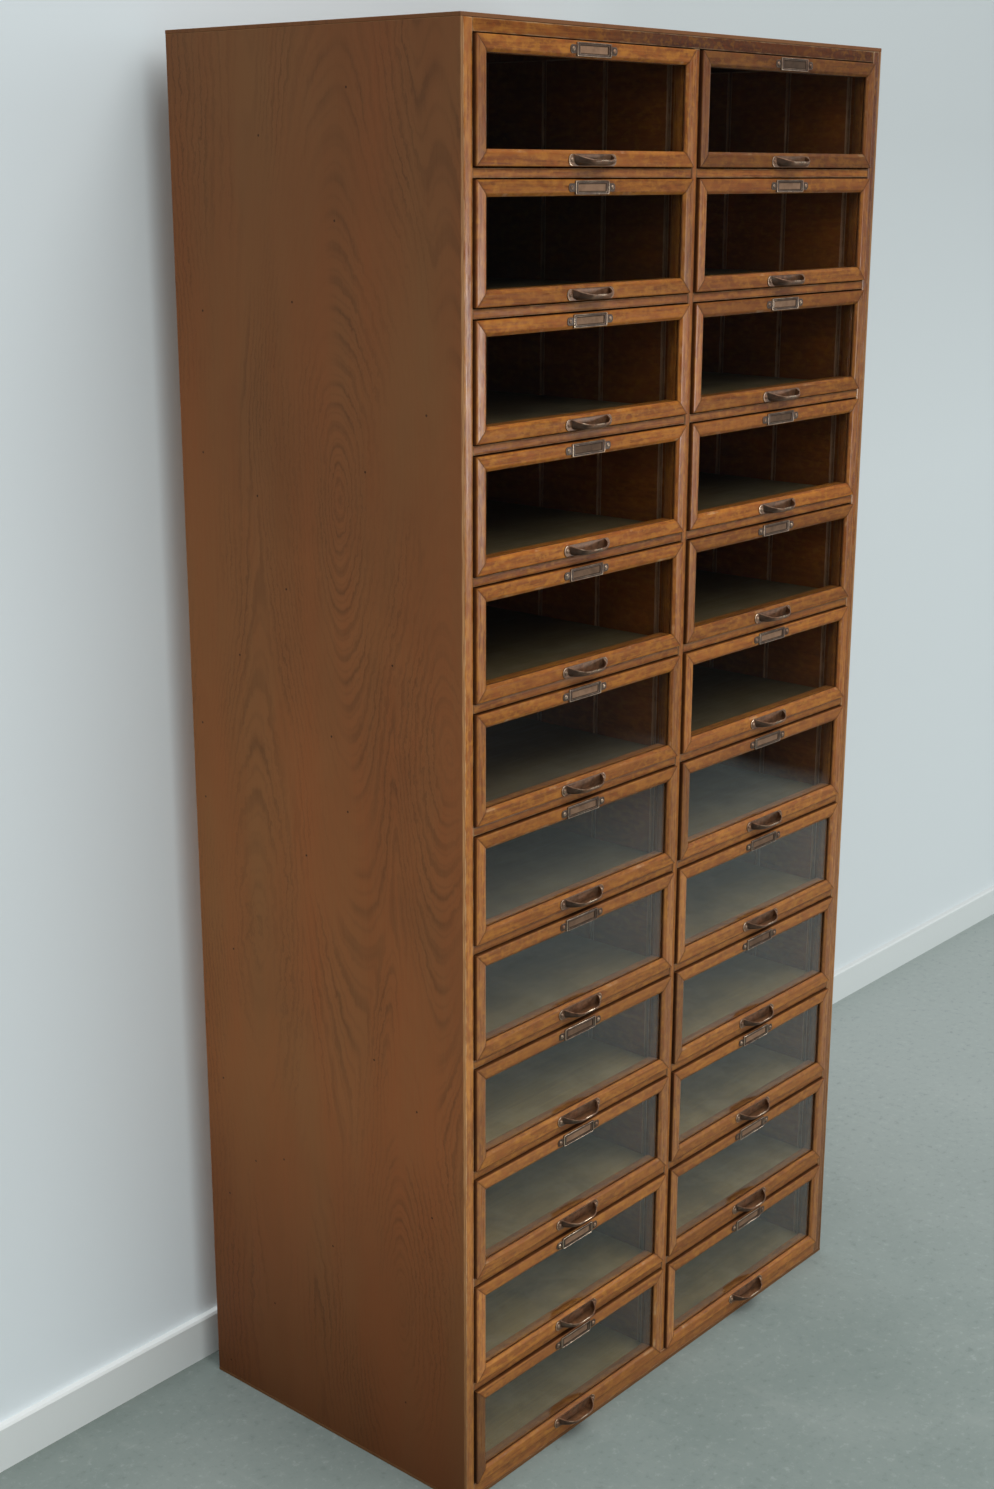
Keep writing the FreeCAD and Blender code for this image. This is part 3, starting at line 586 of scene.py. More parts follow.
def board(stock, low, high, run, chance, soft=0.8, border=2.4, step=45.0, tone=None, age=0.0, finish=0,
          wear_and_highlight=1.0, soot_and_shade=0.0):
    """A plain board with eased arrises; its tone and its age may vary along it, and its arrises may be
    darkened as painted shade of the gaps beside them.
    """
    across, through = [axis for axis in AXES if axis != run]
    long, wide, deep = [high[axis] - low[axis] for axis in (run, across, through)]
    soft = min(soft, wide / 5, deep / 5, long / 5)
    border = min(border, wide / 3 - soft, deep / 3 - soft)
    arris = [(soft + border, 0, 0), (soft, 0, 0.85), (soft * 0.3, soft * 0.3, 1), (0, soft, 0.85),
             (0, soft + border, 0)]
    section = []
    for corner in range(4):
        for u, v, mark in arris if corner in (1, 3) else reversed(arris):
            section.append((wide - u if corner in (1, 2) else u, deep - v if corner in (2, 3) else v, mark))
    plain = long - 2 * (soft + border)
    parts = max(1, round(plain / step))
    stations = [(0, soft, 1), (soft, 0, 0.9)]
    stations += [(soft + border + plain * k / parts, 0, 0) for k in range(parts + 1)]
    stations += [(long - soft, 0, 0.9), (long, soft, 1)]
    wander = chance.uniform(0, 100)

    def spot(s, shrink, at_end, u, v, mark):
        mark = max(mark, at_end)
        u = min(max(u, shrink), wide - shrink)
        v = min(max(v, shrink), deep - shrink)
        if mark > 0.5:
            pull = wear_and_highlight * 0.25 * soft * (0.5 + noise.noise(Vector((s * 0.05 + wander, u * 0.2, v * 0.2))))
            u += pull if u < wide / 2 else -pull
            v += pull if v < deep / 2 else -pull
        place = [0.0, 0.0, 0.0]
        place[run], place[across], place[through] = low[run] + s, low[across] + u, low[through] + v
        return place, mark * wear_and_highlight, soot_and_shade if mark > 0.5 else 0.0

    def along(mark):
        return [mark(s / long) for s, *_ in stations for _ in section] if callable(mark) else mark

    tone = chance.uniform(0.38, 0.62) if tone is None else along(tone)
    stock.skin(stations, section, spot, run, grain_shift(chance), tone=tone, age=along(age), finish=finish)


# ---------------- drawer joinery

# depth behind the member's face, distance in from its outer edge, wear, and grime with painted shade, which
# darkens the outer sides in the gaps, the glass slot and the back
MEMBER_SECTION = (
    (2.8, 0.0, 0.0, 0.9), (0.9, 0.0, 0.5, 0.4), (0.28, 0.28, 0.7, 0.15), (0.0, 0.9, 0.6, 0.0),
    (0.0, 2.6, 0.0, 0.0), (0.0, 6.5, 0.0, 0.0), (0.0, 11.0, 0.0, 0.0), (0.0, 14.6, 0.0, 0.0),
    (0.0, 16.1, 0.75, 0.0), (0.3, 16.7, 1.0, 0.0), (2.2, 19.7, 0.9, 0.0), (2.6, 20.0, 0.8, 0.05),
    (3.3, 20.0, 0.1, 0.3), (5.2, 20.0, 0.0, 0.9), (5.2, 15.2, 0.0, 1.0), (8.6, 15.2, 0.0, 1.0),
    (8.6, 20.0, 0.0, 0.55), (10.0, 20.0, 0.0, 0.1), (23.2, 20.0, 0.2, 0.0), (24.0, 19.4, 0.3, 0.0),
    (24.0, 0.6, 0.0, 0.2), (23.4, 0.0, 0.0, 0.9), (8.0, 0.0, 0.0, 1.0),
)


def frame_member(stock, long, corner, right, up, run, chance, tone, age, finish):
    """One mitred side of the glazed frame."""
    corner, right, up, back = map(Vector, (corner, right, up, (0, 1, 0)))
    count = max(8, round(long / MEMBER_STEP))
    shares = [0.0, 0.004, 0.012] + [k / count for k in range(1, count)] + [0.988, 0.996, 1.0]
    wander = chance.uniform(0, 500)

    def spot(share, depth, inward, mark, soil_and_shade):
        start, end = inward + MITRE_GAP, long - inward - MITRE_GAP
        s = start + (end - start) * share
        if mark > 0.5:
            wave = noise.noise(Vector((s * 0.045 + wander, depth, inward * 0.3)))
            chip = max(0.0, noise.noise(Vector((s * 0.21 + wander, 7.0, inward))) - 0.45)
            loss = 0.16 + 0.16 * wave + 1.6 * chip
            depth += loss * 0.7
            inward += loss * 0.7 if inward < 10 else -loss * 0.4
        at_mitre = min(share, 1 - share)
        soot_and_shade = 0.75 if at_mitre < 0.002 else 0.25 if at_mitre < 0.008 else 0.0
        wear_and_highlight = mark * (0.55 + 0.45 * noise.noise(Vector((s * 0.03, wander, 0))))
        return corner + right * s + up * inward + back * depth, wear_and_highlight, max(soil_and_shade, soot_and_shade)

    stock.skin([(share,) for share in shares], MEMBER_SECTION, spot, run, grain_shift(chance), tone=tone,
               age=age, finish=finish)


def glazed_frame(stock, chance, look):
    """Two rails and two stiles round the pane."""
    wide, high = OPEN_WIDE - 2 * FRONT_GAP, OPEN_HIGH - 2 * FRONT_GAP
    near, far_x, far_z = FRONT_GAP, OPEN_WIDE - FRONT_GAP, OPEN_HIGH - FRONT_GAP
    tones = [look["tone"] + chance.uniform(-0.09, 0.09) for _ in range(4)]
    ages = [min(1.0, max(0.0, look["age"] + chance.uniform(-0.1, 0.12))) for _ in range(4)]
    for stile in (2, 3):
        tones[stile] += look["stile_tone"]
        ages[stile] += look["stile_age"]
    tones[2] += look["near_stile"]
    members = (
        (wide, (near, -PROUD, near), (1, 0, 0), (0, 0, 1), ACROSS),
        (wide, (far_x, -PROUD, far_z), (-1, 0, 0), (0, 0, -1), ACROSS),
        (high, (near, -PROUD, far_z), (0, 0, -1), (1, 0, 0), UP),
        (high, (far_x, -PROUD, near), (0, 0, 1), (-1, 0, 0), UP),
    )
    for (*setting, run), tone, age in zip(members, tones, ages):
        frame_member(stock, *setting, run, chance, tone, age, 3 if run == UP else 0)


def grooved_side(stock, x_inner, outward, chance, tone):
    """A drawer side with upright grooves for thin dividers."""
    long, ease = BOX_BACK - BOX_FRONT, 0.6
    near, far = ease, SIDE_THICK - ease
    # each point: distance along, inset, wear, and grime with painted shade; the groove bottoms are darkened
    # as painted shade
    line = [(near, SIDE_THICK, 0, 0), (0.0, far, 0, 0), (0.0, near, 0.3, 0), (near, 0.0, 0.3, 0)]
    for groove in range(GROOVES):
        middle = FIRST_GROOVE + GROOVE_STEP * groove
        a, b = middle - GROOVE_HALF, middle + GROOVE_HALF
        line += [(a - 3.0, 0.0, 0, 0), (a - 0.3, 0.0, 1, 0), (a, 0.3, 1, 0.6), (a, GROOVE_DEEP, 0.6, 1),
                 (b, GROOVE_DEEP, 0.6, 0.2), (b, 0.3, 1, 0), (b + 0.3, 0.0, 1, 0), (b + 3.0, 0.0, 0, 0)]
    line += [(long - near, 0.0, 0.3, 0), (long, near, 0.3, 0), (long, far, 0, 0),
             (long - near, SIDE_THICK, 0, 0)]
    low, top = RUN_GAP, RUN_GAP + SIDE_HIGH
    levels = ((low, 0), (low + 10.0, 0), (low + 70.0, 0), (top - 3.0, 0), (top - 0.5, 1), (top, 1))

    def spot(z, at_top, s, inset, mark, soil_and_shade):
        if z == top:
            inset = min(max(inset, 0.5), SIDE_THICK - 0.5)
        if z < low + 10.0 and 0.5 < inset < SIDE_THICK - 0.7 and s not in (0.0, long):
            inset = 0.0
        # the foot of the side is darkened where it meets the floor: painted shade
        soil_and_shade = max(soil_and_shade, 0.5 if z < low + 11 else 0.0)
        return (x_inner + outward * inset, BOX_FRONT + s, z), max(mark, at_top), soil_and_shade

    stock.skin(levels, line, spot, BACKWARD, grain_shift(chance), tone=tone, finish=1)


def drawer_joinery(drawer, look):
    """The frame, two sides, floor and back of one drawer, as a single dressed piece."""
    chance = drawer.chance(1000)
    stock = drawer.stock("joinery", OAK_RAIL, OAK_INSIDE, FLOOR_BOARD, OAK_STILE)
    glazed_frame(stock, chance, look)
    inner = SIDE_GAP + SIDE_THICK
    outer = OPEN_WIDE - inner
    for x_inner, outward in ((inner, -1), (outer, 1)):
        grooved_side(stock, x_inner, outward, chance, look["inside"])
    floor = RUN_GAP + FLOOR_UP
    board(stock, (inner, BOX_FRONT, floor), (outer, BOX_BACK, floor + FLOOR_THICK), ACROSS, chance,
          soft=0.3, border=4.0, step=60.0, tone=look["floor"], finish=2, wear_and_highlight=0.0)
    board(stock, (inner, BOX_BACK - BACK_THICK, floor + FLOOR_THICK),
          (outer, BOX_BACK, floor + (FLOOR_THICK + BACK_HIGH)), ACROSS, chance, tone=look["inside"],
          finish=1, wear_and_highlight=0.5)
    drawer.dress(stock, "oak", "drawer")


def pane_and_card(drawer):
    """The glass in its slot and the blank card behind the label window."""
    chance = drawer.chance(4000, 1, 0)
    pane = drawer.stock("pane", GLASS)
    edge = FRONT_GAP + MEMBER_WIDE - PANE_HELD
    board(pane, (edge, PANE_FRONT, edge), (OPEN_WIDE - edge, PANE_FRONT + PANE_THICK, OPEN_HIGH - edge),
          ACROSS, chance, soft=0.3, border=0.4, step=400.0, wear_and_highlight=0.0)
    drawer.dress(pane, "glass")
    tilt = chance.uniform(-0.25, 0.25)
    middle = 26.6
    us = [-CARD_HALF, -28.0, -middle] + [-middle + 2 * middle * k / 8 for k in range(1, 8)]
    us += [middle, 28.0, CARD_HALF]
    vs = [-6.2, -4.9, -3.7, 0.0, 3.5, 4.7, 6.2]
    # the card at the top right is the darkest
    base = 0.1 if drawer.tag == "right_01" else chance.uniform(0.3, 0.95)
    # round its edge the card is left dark, where the holder's lip would shade it: painted shade
    points, tones = [], []
    for thick in (CARD_THICK, 0.0):
        for v in vs:
            for u in us:
                bow = 0.18 * (1 - (u / CARD_HALF) ** 2)
                points.append((u, -0.05 - bow - thick, v + tilt * u / 30))
                tones.append(base if abs(u) < 27.0 and -4.0 < v < 4.0 else 0.0)
    grid = numbered_rings(2 * len(vs), len(us))
    card = drawer.stock("card", CARD, offset=(drawer.middle, drawer.face, drawer.label_z))
    card.add(points, slab_faces(grid[:len(vs)], grid[len(vs):]), tone=tones)
    drawer.dress(card, "card")


# ---------------- metalwork

PLATE_WIDE, PLATE_HIGH, PLATE_THICK, PULL_LIFT = 96.0, 15.0, 1.5, 0.7
PULL_SCREW, LABEL_SCREW = 42.0, 41.0
CUP_HALF, CUP_FLAT, CUP_REACH, CUP_WALL, CUP_BACK = 37.4, 11.0, 20.0, 1.3, 1.3
RIM_BACK, RIM_FRONT, BELLY, CUP_FLOOR, BELLY_ROUND = 13.6, 6.6, 6.4, 0.6, 10.6
CUP_ARC, CUP_STRAIGHT, BEAD, BEAD_SIDES = 14, 4, 0.85, 8
# from the rim down: wear outside, grime with painted shade inside
CUP_WORN = (0.7, 0.55, 0.50, 0.40, 0.30, 0.15, 0.1, 0.0)
CUP_SOILED_AND_SHADED = (0.0, 0.0, 0.05, 0.1, 0.15, 0.2, 0.25, 0.25)


def cup_plan(half, front):
    """The cup seen from above: an arc from each side to the flat front."""
    reach = front - CUP_BACK
    radius = ((half - CUP_FLAT) ** 2 + reach ** 2) / (2 * reach)
    sweep = math.atan2(half - CUP_FLAT, radius - reach)
    turns = [sweep * (1 - k / CUP_ARC) for k in range(CUP_ARC + 1)]
    right = [(CUP_FLAT + radius * math.sin(turn), radius - front - radius * math.cos(turn)) for turn in turns]
    middle = [(CUP_FLAT * (1 - 2 * k / CUP_STRAIGHT), -front) for k in range(1, CUP_STRAIGHT)]
    return right + middle + [(-px, py) for px, py in reversed(right)]


def rim_height(y):
    """The rim slopes from the plate down to the front."""
    share = min(1.0, max(0.0, (-y - PLATE_THICK) / (CUP_REACH - PLATE_THICK)))
    return RIM_BACK + (RIM_FRONT - RIM_BACK) * (share * 0.75 + 0.25 * share * share)


def cup_skin(half, front, floor):
    """Rings of the cup's skin from the rim down to its floor."""
    plan = cup_plan(half, front)
    rings = [[(px, py, rim_height(py)) for px, py in plan],
             [(px, py, min(BELLY + 0.5, rim_height(py) - 0.6)) for px, py in plan]]
    for degrees in (0, 16, 32, 48, 64, 80):
        turn = math.radians(degrees)
        inset = BELLY_ROUND * (1 - math.cos(turn))
        level = BELLY - (BELLY - floor) * math.sin(turn) / math.sin(math.radians(80))
        plan = cup_plan(half - inset, front - inset)
        rings.append([(px, py, min(level, rim_height(py) - 1.0)) for px, py in plan])
    return rings


def pressed_cup(stock, chance):
    """The cup of the pull, dented a little, with its inside; its flanks are darkened as painted shade and the
    front of its belly is rubbed brighter as a painted highlight.
    """
    dent = chance.uniform(0, 50)
    points, edges, tones, dirt = [], [], [], []
    for inside in (False, True):
        wall = CUP_WALL if inside else 0.0
        skin = cup_skin(CUP_HALF - wall, CUP_REACH - wall, CUP_FLOOR + wall)
        for ring, wear_and_highlight, soiled_and_shaded in zip(skin, CUP_WORN, CUP_SOILED_AND_SHADED):
            for px, py, pz in ring:
                wobble = 0.18 * noise.noise(Vector((px * 0.09 + dent, py * 0.12, pz * 0.2)))
                flank = min(1.0, max(0.0, (abs(px) - 16.0) / 10.0))
                points.append((px, py + wobble, pz))
                edges.append(0.1 if inside else wear_and_highlight + (0.12 if -4.0 < px < 30.0 else 0.0))
                tones.append(0.95 if inside else 0.5)
                dirt.append(soiled_and_shaded + 0.65 * flank if inside else 0.85 * flank)
    levels = len(CUP_WORN)
    rings = numbered_rings(2 * levels, len(points) // (2 * levels))
    outer, inner = rings[:levels], rings[levels:]
    faces = []
    for pair in (outer, inner, (outer[0], inner[0])):
        faces += ring_faces(pair, closed=False)
    for level in range(levels - 1):
        for end in (0, -1):
            faces.append((outer[level][end], outer[level + 1][end], inner[level + 1][end], inner[level][end]))
    faces += [outer[-1], inner[-1], (outer[-1][0], outer[-1][-1], inner[-1][-1], inner[-1][0])]
    stock.add(points, faces, edge=edges, dirt=dirt, tone=tones)


def rolled_bead(stock):
    """The round bead that stiffens the cup's rim."""
    path = [Vector((px, py, rim_height(py))) for px, py in cup_plan(CUP_HALF - 0.45, CUP_REACH - 0.45)]
    stations = []
    for index, middle in enumerate(path):
        ahead = (path[min(index + 1, len(path) - 1)] - path[max(index - 1, 0)]).normalized()
        outward = ahead.cross(Vector((0, 0, 1))).normalized()
        stations.append((middle, outward, outward.cross(ahead).normalized()))

    def spot(middle, outward, upward, turn):
        # the bead is brightest at the front middle, then along the front left: wear and a painted highlight
        wear_and_highlight = 1.0 if -8.0 < middle.x < 8.0 else 0.62 if -30.0 < middle.x < -6.0 else 0.45
        return middle + outward * BEAD * math.cos(turn) + upward * BEAD * math.sin(turn), wear_and_highlight, 0.0

    stock.skin(stations, [(2 * math.pi * k / BEAD_SIDES,) for k in range(BEAD_SIDES)], spot)


def pull_plate(stock):
    """A thin plate with round ends and an eased front arris, rubbed at its two ends."""
    end = PLATE_HIGH / 2
    turns = [-math.pi / 2 + math.pi * k / 12 for k in range(13)]
    outline = [(PLATE_WIDE / 2 - end + end * math.cos(turn), end + end * math.sin(turn)) for turn in turns]
    outline += [(-px, pz) for px, pz in reversed(outline)]
    layers = ((0.0, 0.0, 0.2), (-PLATE_THICK + 0.4, 0.0, 1.0), (-PLATE_THICK + 0.1, 0.15, 1.0),
              (-PLATE_THICK, 0.5, 0.75), (-PLATE_THICK, 1.6, 0.3))

    def spot(y, inset, mark, px, pz):
        rise, at_end = pz - end, abs(px) > PULL_SCREW
        pz = end + math.copysign(max(0.0, abs(rise) - inset), rise)
        # the plate's back and its middle, behind the cup, are darkened as painted shade; its ends are rubbed
        # brighter, as wear and a painted highlight
        soil_and_shade = 0.6 if y == 0.0 else 0.0 if at_end else 0.3
        return (math.copysign(abs(px) - inset, px), y, pz), mark if at_end else mark * 0.4, soil_and_shade

    stock.skin(layers, outline, spot, tone=0.42)


def rounded_outline(half_wide, half_high, radius, steps=4):
    """A rectangle with rounded corners about the origin, as width and height pairs."""
    outline = []
    for quarter, (sx, sz) in enumerate(((1, 1), (-1, 1), (-1, -1), (1, -1))):
        for k in range(steps + 1):
            turn = math.pi / 2 * (quarter + k / steps)
            outline.append((sx * (half_wide - radius) + radius * math.cos(turn),
                            sz * (half_high - radius) + radius * math.sin(turn)))
    return outline


# share of the way in to the window, height, wear, and grime with painted shade, which darkens the groove and
# the lip's inner wall
HOLDER_SECTION = (
    (0.0, 0.0, 0.1, 0.8), (0.02, 1.0, 0.3, 0.5), (0.1, 1.55, 0.6, 0.1), (0.24, 1.75, 0.7, 0.0),
    (0.38, 1.5, 0.45, 0.3), (0.5, 1.05, 0.0, 1.0), (0.74, 1.0, 0.0, 1.0), (0.84, 1.25, 0.5, 0.3),
    (0.94, 1.2, 0.6, 0.2), (1.0, 0.9, 0.1, 1.0), (1.0, 0.55, 0.0, 1.0), (0.6, 0.0, 0.0, 1.0),
)
# half width, half height and corner radius of the holder and of its window
HOLDER, WINDOW = (34.8, 8.6, 1.6), (28.5, 5.4, 0.8)
EAR_THICK, EAR_HALF, EAR_MIDDLE, EAR_REACH = 0.8, 5.3, 40.0, 7.0
EAR_LAYERS = (
    (0.0, 0.0, 0.0, 1.0), (-0.55, 0.0, 0.5, 0.4), (-EAR_THICK, 0.35, 0.6, 0.1), (-EAR_THICK, 1.2, 0.0, 0.7),
)
EAR = ((33.5, -5.3), (44.0, -5.3), (46.6, -3.4), (47.3, 0.0), (46.6, 3.4), (44.0, 5.3), (33.5, 5.3))


def label_holder(stock):
    """Stamped frame with a rolled outer bead, a lip round the window and an ear at each end."""
    def ring_spot(share, height, mark, soil_and_shade, outer, inner):
        (ox, oz), (ix, iz) = outer, inner
        # the holder's left end and lower half are rubbed brighter: wear and a painted highlight
        wear_and_highlight = mark * (1.35 if ox < -30.0 or oz < 0.0 else 1.05)
        return (ox + (ix - ox) * share, -height, oz + (iz - oz) * share), wear_and_highlight, soil_and_shade

    def ear_spot(y, inset, mark, soil_and_shade, px, pz):
        px = EAR_MIDDLE + (px - EAR_MIDDLE) * (1 - inset / EAR_REACH)
        return (way * px, y, pz * (1 - inset / EAR_HALF)), mark, soil_and_shade

    around = list(zip(rounded_outline(*HOLDER), rounded_outline(*WINDOW)))
    stock.skin(HOLDER_SECTION, around, ring_spot, looped=True, tone=0.36)
    for way in (-1, 1):
        stock.skin(EAR_LAYERS, EAR, ear_spot, tone=0.2)


def slotted_screws(g, given):
    """A round slotted head at every point it is given, each turned its own way."""
    radius, height = given["Head Radius"], given["Head Height"]
    ball = g.shape("MeshUVSphere", Segments=20, Rings=10, Radius=1.0)
    dome = g.shape("Transform", Geometry=ball, Scale=g.joined(radius, radius, height))
    size = g.joined(g.times(radius, 2.4), given["Slot Width"], g.times(given["Slot Depth"], 2.0))
    bar = g.shape("MeshCube", Size=size)
    bar = g.shape("Transform", Geometry=bar, Translation=g.joined(0.0, 0.0, height))
    cut = g.node("GeometryNodeMeshBoolean", {"Mesh 1": dome, "Mesh 2": bar}, operation="DIFFERENCE")
    facing = g.shape("Transform", Geometry=cut.outputs["Mesh"], Rotation=(math.pi / 2, 0.0, 0.0))
    turns = g.random_vector((0.0, -math.pi, 0.0), (0.0, math.pi, 0.0), given["Seed"])
    heads = g.shape("InstanceOnPoints", Points=given["Geometry"], Instance=facing, Rotation=turns)
    heads = g.shape("RealizeInstances", Geometry=heads)
    return {"Geometry": g.shape("SetMaterial", Geometry=heads, Material=given["Finish"])}


def stacked_rows(g, given):
    """One row's boards repeated up the carcass, each row cut from another part of the tree."""
    vector = {"data_type": "FLOAT_VECTOR"}
    ladder = g.shape("MeshLine", Count=given["Rows"], Offset=g.joined(0.0, 0.0, given["Pitch"]))
    rows = g.shape("InstanceOnPoints", Points=ladder, Instance=given["Geometry"])
    shift = g.random_vector((0.0, 0.0, 0.0), (30.0, 9.0, 9.0), given["Seed"])

    def stored(geometry, name, value, domain):
        feeds = {"Geometry": geometry, "Name": name, "Value": value}
        return g.node("GeometryNodeStoreNamedAttribute", feeds, domain=domain, **vector).outputs[0]

    def read(name):
        return g.node("GeometryNodeInputNamedAttribute", {"Name": name}, **vector).outputs[0]

    rows = g.shape("RealizeInstances", Geometry=stored(rows, "board_shift", shift, "INSTANCE"))
    rows = stored(rows, "grain", g.shift(read("grain"), read("board_shift")), "POINT")
    return {"Geometry": g.shape("SetMaterial", Geometry=rows, Material=given["Finish"])}


SLOTTED_SCREWS = shared_tree(
    "Geometry", slotted_screws, Geometry="Geometry", Head_Radius=0.003, Head_Height=0.0016,
    Slot_Width=0.0007, Slot_Depth=0.0007, Seed=1, Finish="Material",
)
STACKED_ROWS = shared_tree(
    "Geometry", stacked_rows, Geometry="Geometry", Rows=ROWS, Pitch=PITCH * MM, Seed=1, Finish="Material",
)


def grown(name, mesh, tree, **sizes):
    """A plain mesh of what a geometry tree makes from another mesh."""
    holder = placed(name, mesh)
    modifier = holder.modifiers.new(name, "NODES")
    modifier.node_group = tree
    for socket in tree.interface.items_tree:
        label = socket.name.lower().replace(" ", "_")
        if socket.in_out == "INPUT" and label in sizes:
            modifier[socket.identifier] = sizes[label]
    bpy.context.view_layer.update()
    evaluated = holder.evaluated_get(bpy.context.evaluated_depsgraph_get())
    made = bpy.data.meshes.new_from_object(evaluated)
    bpy.data.objects.remove(holder)
    return made


def metalwork(drawer):
    """The pull, the label holder and their four screws."""
    middle, face, label_z = drawer.middle, drawer.face, drawer.label_z
    pull_z = drawer.z + FRONT_GAP + PULL_LIFT
    stock = drawer.stock("metalwork", BRONZE, offset=(middle, face, pull_z))
    pressed_cup(stock, drawer.chance(7000))
    rolled_bead(stock)
    pull_plate(stock)
    stock.offset = Vector((middle, face, label_z))
    label_holder(stock)
    seats = bpy.data.meshes.new("screw_seats")
    seats.from_pydata([
        (Vector((middle + way * reach, face - thick, level)) * MM)
        for reach, thick, level in ((PULL_SCREW, PLATE_THICK, pull_z + PLATE_HIGH / 2),
                                    (LABEL_SCREW, EAR_THICK, label_z))
        for way in (-1, 1)
    ], [], [])
    seed = drawer.row + 50 * drawer.right
    stock.take(grown("screw_heads", seats, SLOTTED_SCREWS, seed=seed, finish=BRONZE), edge=0.75)
    drawer.dress(stock, "bronze")


# ---------------- carcass


def sheet(node, low, high, run, shift, dark_edge):
    """A plywood sheet: each face one sheet of veneer, each sawn edge showing its plies."""
    through = min(AXES, key=lambda axis: high[axis] - low[axis])
    across = next(axis for axis in AXES if axis not in (through, run))
    long, wide, thick = [high[axis] - low[axis] for axis in (run, across, through)]
    ease = 0.5
    points, edges, cuts = [], [], []

    def spots(length):
        parts = max(1, round(length / SHEET_STEP))
        ends = [0.0, ease, 3.0]
        middle = [length * k / parts for k in range(1, parts)]
        return ends + middle + [length - value for value in reversed(ends)]

    def put(u, v, depth, edge, cut):
        spot = [0.0, 0.0, 0.0]
        spot[run], spot[across], spot[through] = low[run] + u, low[across] + v, low[through] + depth
        points.append(spot)
        edges.append(edge)
        cuts.append(cut)
        return len(points) - 1

    def inside(s, length):
        return min(max(s, ease), length - ease)

    def outside(s, length):
        return 0.0 if s <= ease else length if s >= length - ease else s

    def face(depth):
        rows = []
        for u in spots(long):
            rims = [(v, min(u, long - u, v, wide - v)) for v in spots(wide)]
            rows.append([put(inside(u, long), inside(v, wide), depth, 1.0 if rim < 0.6 else 0.0,
                             0.3 if rim < 0.1 else 0.0) for v, rim in rims])
        return rows

    def belt(depth):
        border = rim_of([[(u, v) for v in spots(wide)] for u in spots(long)])
        marks = (0.0, 0.0) if dark_edge else (0.5, 1.0)
        return [put(outside(u, long), outside(v, wide), depth, *marks) for u, v in border]

    faces = slab_faces(face(0.0), face(thick), belt(ease), belt(thick - ease))
    stock = Stock(f"{node}_sheet", VENEER)
    stock.add(points, faces, run, shift, (run, across, through), edge=edges, tone=0.4 if dark_edge else 0.5,
              age=cuts)
    stock.piece("carcass", "plywood", node)


def plywood_sheets():
    """Sides, top, base and back."""
    half, top = WIDE / 2, TALL - PLY
    for node, low, high, run, shift in (
        ("side_panel_left", (-half, FRONT, PLY), (-half + PLY, BACK, top), UP, (0, 0, 0)),
        ("side_panel_right", (half - PLY, FRONT, PLY), (half, BACK, top), UP, (-0.3, 0.05, 5.0)),
        ("top_panel", (-half, FRONT, top), (half, BACK, TALL), ACROSS, (1.0, 0.0, 9.0)),
        ("base_panel", (-half, FRONT, 0), (half, BACK, PLY), ACROSS, (0.5, 0.1, 13.0)),
        ("back_panel", (-half + PLY, BACK - PLY, PLY), (half - PLY, BACK, top), UP, (0.2, 0.1, 17.0)),
    ):
        sheet(node, low, high, run, shift, dark_edge=node == "top_panel")


def ramp(share, start, end, low, high):
    """Eases from one value to another along a board."""
    t = min(1.0, max(0.0, (share - start) / (end - start)))
    return low + (high - low) * t * t * (3 - 2 * t)


def ramps(*each):
    """A mark that changes along a board, as the sum of its ramps."""
    return lambda share: sum(ramp(share, *one) for one in each)


def face_frame():
    """Stiles, muntin and end rails of the carcass face."""
    chance = random.Random(77)
    low, high, half = PLY, TALL - PLY, MUNTIN / 2
    left, right = COLUMN_X["left"], RIGHT_END
    stiles, muntin = Stock("stiles", OAK_STILE), Stock("muntin", OAK_FACE)
    bottom, top = Stock("bottom_rail_board", OAK_FACE), Stock("top_rail_board", OAK_TOP)
    # the eighth column darkens a board's arrises; on the muntin this is painted shade of the gaps beside the
    # drawers
    for stock, x0, x1, z0, z1, run, soft, soot_and_shade, tone, age in (
        (stiles, left - STILE, left, low, high, UP, 0.9, 0.0,
         ramps((0.06, 0.2, 0.36, 0.72), (0.52, 0.72, 0.0, -0.26)), 0.02),
        (stiles, right, right + STILE, low, high, UP, 0.9, 0.0,
         ramps((0.0, 0.3, 0.06, 0.34), (0.7, 0.95, 0.0, -0.12)), ramps((0.7, 0.93, 0.12, 0.95))),
        (muntin, -half, half, low + BOTTOM_RAIL, high - TOP_RAIL, UP, 0.9, 0.6,
         ramps((0.55, 0.75, 0.5, 0.42)), ramps((0.75, 1.0, 0.05, 0.4))),
        (bottom, left, right, low, low + BOTTOM_RAIL, ACROSS, 1.0, 0.0, 0.34, 0.1),
        (top, left, right, high - TOP_RAIL, high, ACROSS, 1.0, 0.0,
         ramps((0.04, 0.4, 0.20, 0.0)), ramps((0.12, 0.45, 0.1, 0.9))),
    ):
        board(stock, (x0, FRONT, z0), (x1, FRONT + FACE, z1), run, chance, soft, step=FACE_STEP,
              tone=tone, age=age, soot_and_shade=soot_and_shade)
    for stock, node in ((stiles, "front_stiles"), (muntin, "centre_muntin"), (bottom, "bottom_rail"),
                        (top, "top_rail")):
        stock.piece("carcass", "oak", node)


